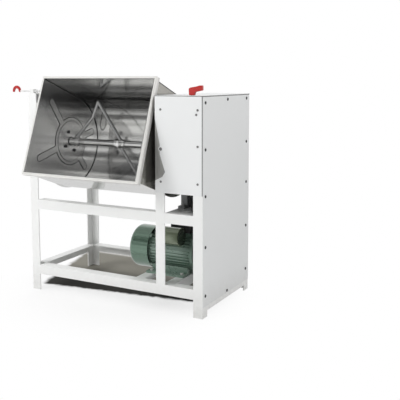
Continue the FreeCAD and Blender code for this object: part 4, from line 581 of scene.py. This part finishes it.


# Painted shadow: a dark line round the plate's edge and round its raised middle.
painted_edge_shadow = small_finish("painted edge shadow", {"Specular IOR Level": 0.3}, (500.0, 50.0),
                       (grey(0.018), grey(0.06)), (0.45, 0.7))
for side, wall_x, way in (("left", shell_low.x, 1), ("right", shell_high.x, -1)):
    outline = []
    outline_x = wall_x + way * EDGE_LINE_OUT
    for step in range(EDGE_LINE_STEPS):
        angle = 2 * math.pi * step / EDGE_LINE_STEPS
        reach = spider_reach(angle) + EDGE_LINE_OUT
        outline.append(Vector((outline_x, -reach * math.sin(angle), reach * math.cos(angle))))
    on_trough(tube("spider_edge_" + side, outline, [EDGE_LINE_RADIUS] * EDGE_LINE_STEPS, 6, True),
              painted_edge_shadow)
    boss_ring = []
    boss_x = wall_x + way * (SPIDER_STEP + BOSS_LINE_OUT)
    for step in range(BOSS_LINE_STEPS):
        angle = 2 * math.pi * step / BOSS_LINE_STEPS
        boss_ring.append(Vector((boss_x, -SPIDER_BOSS * math.sin(angle), SPIDER_BOSS * math.cos(angle))))
    on_trough(tube("spider_boss_" + side, boss_ring, [BOSS_LINE_RADIUS] * BOSS_LINE_STEPS, 6, True),
              painted_edge_shadow)

# Trunnions, bushes and seals: turned steel tubes that carry the trough, sintered bronze in them
# and black rubber where the shaft goes through the end walls.
turned_steel, turned_in, turned_out = new_group(
    "turned steel", {"Ring Scale": 1400.0, "Cloud Scale": 20.0}, ["Height", "Cloud"])
turned_place = add_node(turned_steel, "ShaderNodeTexCoord").outputs["Object"]
turned_x = add_node(turned_steel, "ShaderNodeSeparateXYZ", {0: turned_place}).outputs["X"]
turned_line = add_node(turned_steel, "ShaderNodeCombineXYZ",
                       {"X": add_math(turned_steel, "MULTIPLY", turned_x, turned_in["Ring Scale"])})
turned_rings = add_node(turned_steel, "ShaderNodeTexNoise",
                        {"Vector": turned_line.outputs[0], "Scale": 1.0, "Detail": 3.0})
turned_cloud = add_node(turned_steel, "ShaderNodeTexNoise",
                        {"Vector": turned_place, "Scale": turned_in["Cloud Scale"], "Detail": 4.0})
turned_steel.links.new(turned_rings.outputs["Fac"], turned_out["Height"])
turned_steel.links.new(turned_cloud.outputs["Fac"], turned_out["Cloud"])


def turned_metal(name, bright, dull, roughness):
    """Metal from the lathe, with fine rings round its axis."""
    material = new_material(name, {"Metallic": 1.0})
    turned = effect(material, turned_steel)
    feed(material, "Base Color", colour_between(material, turned["Cloud"], bright, dull))
    feed(material, "Roughness",
         value_between(material, turned["Cloud"], roughness - 0.06, roughness + 0.08))
    feed_bump(material, turned["Height"], 0.15, 0.0001)
    return material


trunnion_steel = turned_metal("trunnion steel", (0.60, 0.60, 0.58, 1), (0.44, 0.44, 0.43, 1), 0.30)
dress(["trunnions"], trunnion_steel)
bush_bronze = turned_metal("bush bronze", (0.60, 0.40, 0.18, 1), (0.42, 0.27, 0.12, 1), 0.34)
dress(["shaft_bushes"], bush_bronze)
seal_rubber = small_finish("seal rubber", {"Specular IOR Level": 0.4}, (800.0, 70.0),
                           (grey(0.012), grey(0.03)), (0.4, 0.6))
dress(["shaft_seals"], seal_rubber)

# Castings: the pillow blocks and the countershaft's pedestals are painted grey, and the pulleys
# have a darker primer. The sand of the mould shows as a coarse grain.
casting_grain, grain_in, grain_out = new_group("casting grain", {"Grain Scale": 260.0, "Patch Scale": 16.0},
                                               ["Height", "Patches"])
grain_place = add_node(casting_grain, "ShaderNodeTexCoord").outputs["Object"]
sand = add_node(casting_grain, "ShaderNodeTexNoise",
                {"Vector": grain_place, "Scale": grain_in["Grain Scale"], "Detail": 6.0, "Roughness": 0.7})
patches = add_node(casting_grain, "ShaderNodeTexNoise",
                   {"Vector": grain_place, "Scale": grain_in["Patch Scale"], "Detail": 5.0})
casting_grain.links.new(sand.outputs["Fac"], grain_out["Height"])
casting_grain.links.new(patches.outputs["Fac"], grain_out["Patches"])


def casting(name, plain, patched, finish, grain_depth, rubbed, smooth=0.38, rough=0.62):
    """A painted casting with sand grain, uneven paint and rubbed edges."""
    material = new_material(name, finish)
    grain = effect(material, casting_grain)
    wear = effect(material, edge_wear_and_shade, {"Width": 0.002, "Amount": 0.7})
    painted = colour_between(material, grain["Patches"], plain, patched)
    feed(material, "Base Color", colour_between(material, wear["Mask"], painted, rubbed))
    feed(material, "Roughness", value_between(material, grain["Patches"], smooth, rough))
    feed_bump(material, grain["Height"], 0.5, grain_depth)
    return material


bearing_iron = casting("bearing casting", (0.22, 0.23, 0.24, 1), (0.34, 0.35, 0.35, 1),
                       {"Metallic": 0.35}, grain_depth=0.0006, rubbed=grey(0.5))
dress(["pillow_blocks", "pedestal_bearings"], bearing_iron)
pulley_iron = casting("pulley casting", (0.035, 0.037, 0.04, 1), (0.08, 0.08, 0.085, 1),
                      {"Metallic": 0.2}, grain_depth=0.0005, rubbed=grey(0.3))
dress(["countershaft_pulley", "motor_pulley"], pulley_iron)

# Kneading shaft and paddle: polished stainless bar through the whole trough. Two bent bars sweep
# the dough, held by split collars that clamp on the shaft.
shaft_steel = turned_metal("polished shaft", (0.80, 0.80, 0.79, 1), (0.55, 0.55, 0.54, 1), 0.12)
dress(["kneading_shaft"], shaft_steel)
bar_steel = stainless("paddle bar", (0.58, 0.58, 0.57, 1), grey(0.36), 0.20,
                      (60.0, 60.0, 60.0), relief=0.1, cloud_scale=30.0, metallic=0.92)
dress(["paddle_bar_left", "paddle_bar_right"], bar_steel)
collar_steel = turned_metal("collar steel", (0.92, 0.92, 0.91, 1), (0.66, 0.66, 0.65, 1), 0.20)
# Painted shade: a dark line along the collars' rims.
collar_rim_shade = effect(collar_steel, edge_wear_and_shade, {"Width": 0.006, "Amount": 1.0, "Break Scale": 0.0})["Mask"]
add_layer(collar_steel, collar_rim_shade, grey(0.03))
dress(["paddle_collars"], collar_steel)

# Gears and shafts of the drive: machined steel, with a film of dark grease on the teeth. The lock
# pin is a bright drawn rod.
gear_steel = turned_metal("greased gear", (0.22, 0.20, 0.17, 1), (0.10, 0.09, 0.08, 1), 0.30)
dress(["main_gear", "pinion"], gear_steel)
plain_steel = turned_metal("machined steel", (0.58, 0.58, 0.57, 1), grey(0.42), 0.26)
dress(["countershaft", "motor_shaft"], plain_steel)
lock_steel = stainless("lock rod", (0.92, 0.92, 0.91, 1), grey(0.80), 0.3,
                       (60.0, 60.0, 60.0), relief=0.1, cloud_scale=30.0, metallic=0.3)
dress(["lock_pin"], lock_steel)

# V-belts: two rings of cord-reinforced rubber between the pulleys, with dusty grey patches.
belt_rubber = new_material("belt rubber", {"Specular IOR Level": 0.3})
belt_grain = effect(belt_rubber, casting_grain, {"Grain Scale": 700.0, "Patch Scale": 30.0})
feed(belt_rubber, "Base Color",
     colour_between(belt_rubber, belt_grain["Patches"], (0.012, 0.012, 0.013, 1), (0.045, 0.045, 0.044, 1)))
feed(belt_rubber, "Roughness", value_between(belt_rubber, belt_grain["Patches"], 0.55, 0.8))
feed_bump(belt_rubber, belt_grain["Height"], 0.4, 0.0003)
dress(["v_belts"], belt_rubber)

# Channel beside the trough: bare folded steel on the housing's posts, seen in the front cover's
# notch. The covers are screwed to it. Its strong dark and light streaks are painted reflections over
# its brushing.
channel_steel = stainless("channel sheet", (0.82, 0.82, 0.80, 1), (0.22, 0.22, 0.21, 1), 0.30,
                          (30.0, 30.0, 3.0), cloud_scale=5.0, metallic=0.5)
dress(["housing_channel"], channel_steel)

# Motor: a finned cast barrel and end bells under glossy green enamel, bolted to two rails. The
# pressed fan cowl is darker and smoother, and the capacitor's case is a yellower batch.
motor_enamel = casting("motor enamel", (0.185, 0.275, 0.220, 1), (0.215, 0.310, 0.250, 1),
                       {"Metallic": 0.50, "Coat Weight": 1.0, "Coat Roughness": 0.10, "IOR": 1.7},
                       grain_depth=0.00015, rubbed=(0.36, 0.45, 0.39, 1), smooth=0.22, rough=0.36)
dress(["motor_frame", "motor_end_bells"], motor_enamel)
cowl_enamel = casting("cowl enamel", (0.120, 0.205, 0.150, 1), (0.140, 0.230, 0.170, 1),
                      {"Metallic": 0.65, "Coat Weight": 0.7, "Coat Roughness": 0.05, "IOR": 1.8},
                      grain_depth=0.00004, rubbed=(0.32, 0.43, 0.36, 1), smooth=0.14, rough=0.24)
dress(["fan_cowl"], cowl_enamel)
capacitor_enamel = casting("capacitor enamel", (0.170, 0.210, 0.130, 1), (0.195, 0.235, 0.148, 1),
                           {"Metallic": 0.35, "Coat Weight": 1.0, "Coat Roughness": 0.10, "IOR": 1.6},
                           grain_depth=0.00008, rubbed=(0.34, 0.37, 0.28, 1), smooth=0.20, rough=0.32)
capacitor_end = effect(capacitor_enamel, sheet_edge, {
    "Corner": (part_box("capacitor_case")[1].x, FAR_OUT, FAR_OUT), "Width": 0.0015})["Mask"]
add_layer(capacitor_enamel, capacitor_end, (0.046, 0.064, 0.040, 1))
dress(["capacitor_case"], capacitor_enamel)
fan_plastic = small_finish("fan plastic", {"Specular IOR Level": 0.4}, (500.0, 12.0),
                           (grey(0.02), grey(0.05)), (0.4, 0.6), (0.3, 0.0002))
dress(["cooling_fan", "switch_case", "terminal_box"], fan_plastic)
core_steel = turned_metal("core laminations", (0.30, 0.29, 0.28, 1), (0.16, 0.15, 0.15, 1), 0.45)
dress(["stator_core", "rotor_core"], core_steel)

# Red lever of the reversing switch: one moulding on the switch's spindle, a short stem that runs
# into a rising bar, with soft edges and a slight thumb hollow in the top.
LEVER_INSET = 0.12
LEVER_ROUND = 0.0042
LEVER_OUTLINE = ((0.02, 0.0), (0.40, 0.0), (0.42, 0.22), (0.50, 0.33), (0.99, 0.48), (0.985, 0.98),
                 (0.80, 0.965), (0.50, 0.85), (0.20, 0.79), (0.06, 0.74), (0.0, 0.62))
red_moulding = small_finish("red moulding", {"Coat Weight": 0.25, "Coat Roughness": 0.15, "IOR": 1.5},
                            (300.0, 25.0), ((0.52, 0.018, 0.014, 1), (0.42, 0.014, 0.012, 1)),
                            (0.28, 0.42), (0.15, 0.0002))
lever_low, lever_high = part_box("switch_lever")
lever_size = lever_high - lever_low
lever_front = lever_low.y + lever_size.y * LEVER_INSET
lever_mesh = bpy.data.meshes.new("red_lever")
lever_shape = bmesh.new()
lever_corners = [lever_shape.verts.new((lever_low.x + along * lever_size.x, lever_front,
                                        lever_low.z + up * lever_size.z)) for along, up in LEVER_OUTLINE]
lever_face = lever_shape.faces.new(lever_corners)
lever_sweep = bmesh.ops.extrude_face_region(lever_shape, geom=[lever_face])
for vertex in lever_sweep["geom"]:
    if isinstance(vertex, bmesh.types.BMVert):
        vertex.co.y += lever_size.y * (1 - 2 * LEVER_INSET)
bmesh.ops.recalc_face_normals(lever_shape, faces=lever_shape.faces)
lever_shape.to_mesh(lever_mesh)
lever_shape.free()
lever = bpy.data.objects.new("red_lever", lever_mesh)
bpy.context.scene.collection.objects.link(lever)
lever_round = lever.modifiers.new("round", "BEVEL")
lever_round.width = LEVER_ROUND
lever_round.segments = 4
lever_round.limit_method = "ANGLE"
lever_round.angle_limit = math.radians(20)
for face in lever_mesh.polygons:
    face.use_smooth = True
lever_mesh.materials.append(red_moulding)
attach(lever, "switch_lever_body")
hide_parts("switch_lever")

# Lock of the trough: a steel pin in a bracket on the left front leg, pulled by a red hook. The
# hook's sleeve is thickest in the middle of its arch, where a finger pulls, and has round ends.
GRIP_STEPS = 40
GRIP_END = 0.82
CAP_STEPS = 5
dress(["lock_bracket"], frame_coat)
grip_low, grip_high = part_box("lock_grip")
grip_sleeve = (grip_high.y - grip_low.y) / 2
grip_bend = (grip_high.x - grip_low.x) / 2 - grip_sleeve
grip_foot = grip_high.z - grip_bend - grip_sleeve
grip_centre = Vector(((grip_low.x + grip_high.x) / 2, (grip_low.y + grip_high.y) / 2, grip_foot))
grip_points = []
grip_radii = []
for step in range(GRIP_STEPS + 1):
    angle = math.pi * step / GRIP_STEPS
    grip_points.append(grip_centre + Vector((grip_bend * math.cos(angle), 0, grip_bend * math.sin(angle))))
    grip_radii.append(grip_sleeve * (GRIP_END + (1 - GRIP_END) * math.sin(angle)))
for end in (0, -1):
    foot = grip_points[end]
    for step in range(1, CAP_STEPS + 1):
        turn = math.pi / 2 * step / (CAP_STEPS + 0.2)
        capped = foot - Vector((0, 0, grip_sleeve * GRIP_END * math.sin(turn)))
        radius = grip_sleeve * GRIP_END * math.cos(turn)
        if end == 0:
            grip_points.insert(0, capped)
            grip_radii.insert(0, radius)
        else:
            grip_points.append(capped)
            grip_radii.append(radius)
grip = tube("red_grip", grip_points, grip_radii, 20)
grip.data.materials.append(red_moulding)
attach(grip, "lock_slide")
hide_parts("lock_grip")

# Floor: a wide pale sheet that shows its own white to the camera, with the soft shadow of the
# machine. Between the feet it carries a ragged painted shadow, darkest in front, and mirrors see the
# sheet in bands by its depth.
FLOOR_HALF = 14
FLOOR_DROP = 0.0005
PAINTED_SHADOW_FRONT = (0.030, 0.029, 0.026, 1)
PAINTED_SHADOW_BACK = (0.27, 0.26, 0.225, 1)
SHADOW_LEFT = (-0.51, -0.46)
SHADOW_RIGHT = (0.47, 0.43)
SHADOW_FRONT = (-0.050, -0.015)
SHADOW_BACK = (0.66, 0.56)
SHADOW_SLANT_X = 0.30
SHADOW_SLANT_Y = 0.12
SHADOW_RAGGED = 0.04
FLOOR_BANDS_FROM = -9.0
FLOOR_BANDS_TO = 1.0
FLOOR_BANDS = ((0.0, 1.0), (0.36, 1.0), (0.41, 0.50), (0.50, 0.60), (0.60, 0.70), (0.68, 0.60),
               (0.73, 0.75), (0.79, 1.0), (0.83, 0.90), (0.88, 0.71), (1.0, 0.67))


def fill_ramp(ramp, bands):
    """Give a colour ramp its stops, each a place and a grey."""
    for band in bands[:-2]:
        ramp.elements.new(band[0])
    for stop, (place, shade) in zip(ramp.elements, bands):
        stop.position = place
        stop.color = grey(shade)


floor_mesh = bpy.data.meshes.new("floor")
floor_shape = bmesh.new()
for x, y in ((-1, -1), (1, -1), (1, 1), (-1, 1)):
    floor_shape.verts.new((x * FLOOR_HALF, y * FLOOR_HALF, -FLOOR_DROP))
floor_shape.faces.new(floor_shape.verts)
floor_shape.to_mesh(floor_mesh)
floor_shape.free()
floor = bpy.data.objects.new("floor", floor_mesh)
bpy.context.scene.collection.objects.link(floor)
floor_paper = new_material("floor paper", {"Roughness": 0.7, "Specular IOR Level": 0.1})
paper_coat = effect(floor_paper, powder_coat, {"Peel Scale": 90.0, "Drift Scale": 0.8})
feed(floor_paper, "Base Color",
     colour_between(floor_paper, paper_coat["Drift"], grey(0.90), grey(0.88)))
floor_tree = floor_paper.node_tree
floor_rays = add_node(floor_tree, "ShaderNodeLightPath").outputs
floor_white = add_node(floor_tree, "ShaderNodeEmission", {"Color": grey(1), "Strength": 1.0})
floor_place = add_node(floor_tree, "ShaderNodeTexCoord").outputs["Object"]
floor_parts = add_node(floor_tree, "ShaderNodeSeparateXYZ", {0: floor_place}).outputs
floor_ragged = add_node(floor_tree, "ShaderNodeTexNoise",
                        {"Vector": floor_place, "Scale": 22.0, "Detail": 5.0})
floor_shift = add_math(floor_tree, "MULTIPLY", floor_ragged.outputs["Fac"], SHADOW_RAGGED)
slant_x = add_math(floor_tree, "MULTIPLY", floor_parts["Y"], SHADOW_SLANT_X)
skewed_x = add_math(floor_tree, "ADD", floor_parts["X"], slant_x)
slant_y = add_math(floor_tree, "MULTIPLY", floor_parts["X"], SHADOW_SLANT_Y)
skewed_y = add_math(floor_tree, "SUBTRACT", floor_parts["Y"], slant_y)
floor_left = add_math(floor_tree, "ADD", skewed_x, floor_shift)
floor_front = add_math(floor_tree, "ADD", skewed_y, floor_shift)
# Painted shadow under the machine: a ragged dark patch, darkest under the front rail.
painted_shadow_mask = 1.0
for value, edge in ((floor_left, SHADOW_LEFT), (floor_parts["X"], SHADOW_RIGHT),
                    (floor_front, SHADOW_FRONT), (floor_parts["Y"], SHADOW_BACK)):
    painted_shadow_mask = both(floor_paper, step_up(floor_paper, value, *edge), painted_shadow_mask)
floor_depth = add_node(floor_tree, "ShaderNodeMapRange", {
    "Value": floor_parts["Y"], "From Min": 0.05, "From Max": 0.30}).outputs["Result"]
painted_ground_shadow = colour_between(floor_paper, floor_depth, PAINTED_SHADOW_FRONT, PAINTED_SHADOW_BACK)
add_layer(floor_paper, painted_shadow_mask, painted_ground_shadow)
floor_distance = add_node(floor_tree, "ShaderNodeVectorMath", {0: floor_place}, operation="LENGTH")
floor_white_share = add_node(floor_tree, "ShaderNodeMapRange", {
    "Value": floor_distance.outputs["Value"], "From Min": 0.30, "From Max": 0.75, "To Min": 0.70,
    "To Max": 1.0}, interpolation_type="SMOOTHSTEP").outputs["Result"]
floor_open = add_math(floor_tree, "SUBTRACT", 1.0, painted_shadow_mask)
camera_white = both(floor_paper, floor_rays["Is Camera Ray"], floor_white_share)
white_mask = both(floor_paper, camera_white, floor_open)
floor_seen = add_node(floor_tree, "ShaderNodeMixShader", {
    0: white_mask, 1: floor_tree.nodes["Principled BSDF"].outputs[0], 2: floor_white.outputs[0]})
floor_along = add_node(floor_tree, "ShaderNodeMapRange", {
    "Value": floor_parts["Y"], "From Min": FLOOR_BANDS_FROM, "From Max": FLOOR_BANDS_TO})
floor_bands = add_node(floor_tree, "ShaderNodeValToRGB", {0: floor_along.outputs["Result"]})
fill_ramp(floor_bands.color_ramp, FLOOR_BANDS)
floor_mirrored = add_node(floor_tree, "ShaderNodeEmission", {
    "Color": floor_bands.outputs["Color"], "Strength": 1.0})
floor_mix = add_node(floor_tree, "ShaderNodeMixShader", {
    0: floor_rays["Is Glossy Ray"], 1: floor_seen.outputs[0], 2: floor_mirrored.outputs[0]})
floor_tree.links.new(floor_mix.outputs[0], floor_tree.nodes["Material Output"].inputs["Surface"])
floor_mesh.materials.append(floor_paper)

# Studio: a white world for the camera, and for mirrors a room that is bright behind the machine and
# has bands by height in front of it. Of four soft lamps one stands front left, one beside the
# housing, a small weak one front right and a wide one behind.
WORLD_LIGHT = 0.60
ROOM_BACK = 0.95
ROOM_BANDS = ((0.0, 0.30), (0.46, 0.90), (0.500, 0.95), (0.545, 1.00), (0.570, 0.42), (0.620, 0.30),
              (0.645, 0.45), (0.660, 1.00), (0.682, 0.85), (0.700, 0.32), (0.718, 0.14), (0.745, 0.10),
              (0.800, 0.10), (0.825, 0.13), (0.842, 0.24), (0.855, 0.27), (0.866, 0.75), (0.880, 1.00),
              (0.930, 1.00), (0.955, 0.55), (1.0, 0.50))
LAMPS = (("front_lamp", (-2.3, -2.5, 2.6), 1.6, 71), ("side_lamp", (2.7, -0.8, 2.7), 1.4, 23),
         ("key_lamp", (2.9, -3.9, 1.5), 0.8, 4), ("rear_lamp", (-2.0, 3.6, 3.2), 2.6, 40))
LAMP_AIM = Vector((0, 0, 0.65))
world = bpy.data.worlds.new("studio")
bpy.context.scene.world = world
world.use_nodes = True
world_tree = world.node_tree
world_tree.nodes.clear()
sky_way = add_node(world_tree, "ShaderNodeTexCoord").outputs["Generated"]
sky_parts = add_node(world_tree, "ShaderNodeSeparateXYZ", {0: sky_way}).outputs
sky_back = add_node(world_tree, "ShaderNodeMapRange", {
    "Value": sky_parts["Y"], "From Min": -0.15, "From Max": 0.35}, interpolation_type="SMOOTHSTEP")
room_height = add_node(world_tree, "ShaderNodeMapRange", {"Value": sky_parts["Z"], "From Min": -1.0})
room_bands = add_node(world_tree, "ShaderNodeValToRGB", {0: room_height.outputs["Result"]})
fill_ramp(room_bands.color_ramp, ROOM_BANDS)
room_shade = add_node(world_tree, "ShaderNodeMix", {
    "Factor": sky_back.outputs["Result"], 2: room_bands.outputs["Color"], 3: ROOM_BACK}, data_type="FLOAT")
rays = add_node(world_tree, "ShaderNodeLightPath").outputs
mirror_rays = add_math(world_tree, "MAXIMUM", rays["Is Glossy Ray"], rays["Is Transmission Ray"])
light_strength = add_node(world_tree, "ShaderNodeMix", {
    "Factor": mirror_rays, 2: WORLD_LIGHT, 3: room_shade.outputs[0]}, data_type="FLOAT")
seen_strength = add_node(world_tree, "ShaderNodeMix", {
    "Factor": rays["Is Camera Ray"], 2: light_strength.outputs[0], 3: 1.0}, data_type="FLOAT")
backdrop = add_node(world_tree, "ShaderNodeBackground", {
    "Color": grey(1), "Strength": seen_strength.outputs[0]})
add_node(world_tree, "ShaderNodeOutputWorld", {"Surface": backdrop.outputs[0]})
for name, place, width, power in LAMPS:
    lamp_data = bpy.data.lights.new(name, "AREA")
    lamp_data.shape = "SQUARE"
    lamp_data.size = width
    lamp_data.energy = power
    lamp = bpy.data.objects.new(name, lamp_data)
    lamp.location = place
    lamp.rotation_euler = (LAMP_AIM - lamp.location).to_track_quat("-Z", "Y").to_euler()
    lamp.visible_glossy = False
    bpy.context.scene.collection.objects.link(lamp)

# Camera: where the photograph was taken from, a little above the trough and to the right.
CAMERA_PLACE = Vector((1.9720, -2.91455, 1.1318))
CAMERA_YAW = math.radians(27.42)
CAMERA_PITCH = math.radians(6.08)
camera_data = bpy.data.cameras.new("camera")
camera_data.sensor_width = 36
camera_data.lens = 59.93
camera_data.shift_y = -0.125
camera = bpy.data.objects.new("camera", camera_data)
camera.location = CAMERA_PLACE
look = Vector((-math.sin(CAMERA_YAW) * math.cos(CAMERA_PITCH),
               math.cos(CAMERA_YAW) * math.cos(CAMERA_PITCH), -math.sin(CAMERA_PITCH)))
camera.rotation_euler = look.to_track_quat("-Z", "Y").to_euler()
bpy.context.scene.collection.objects.link(camera)
bpy.context.scene.camera = camera
bpy.context.scene.view_settings.view_transform = "Standard"
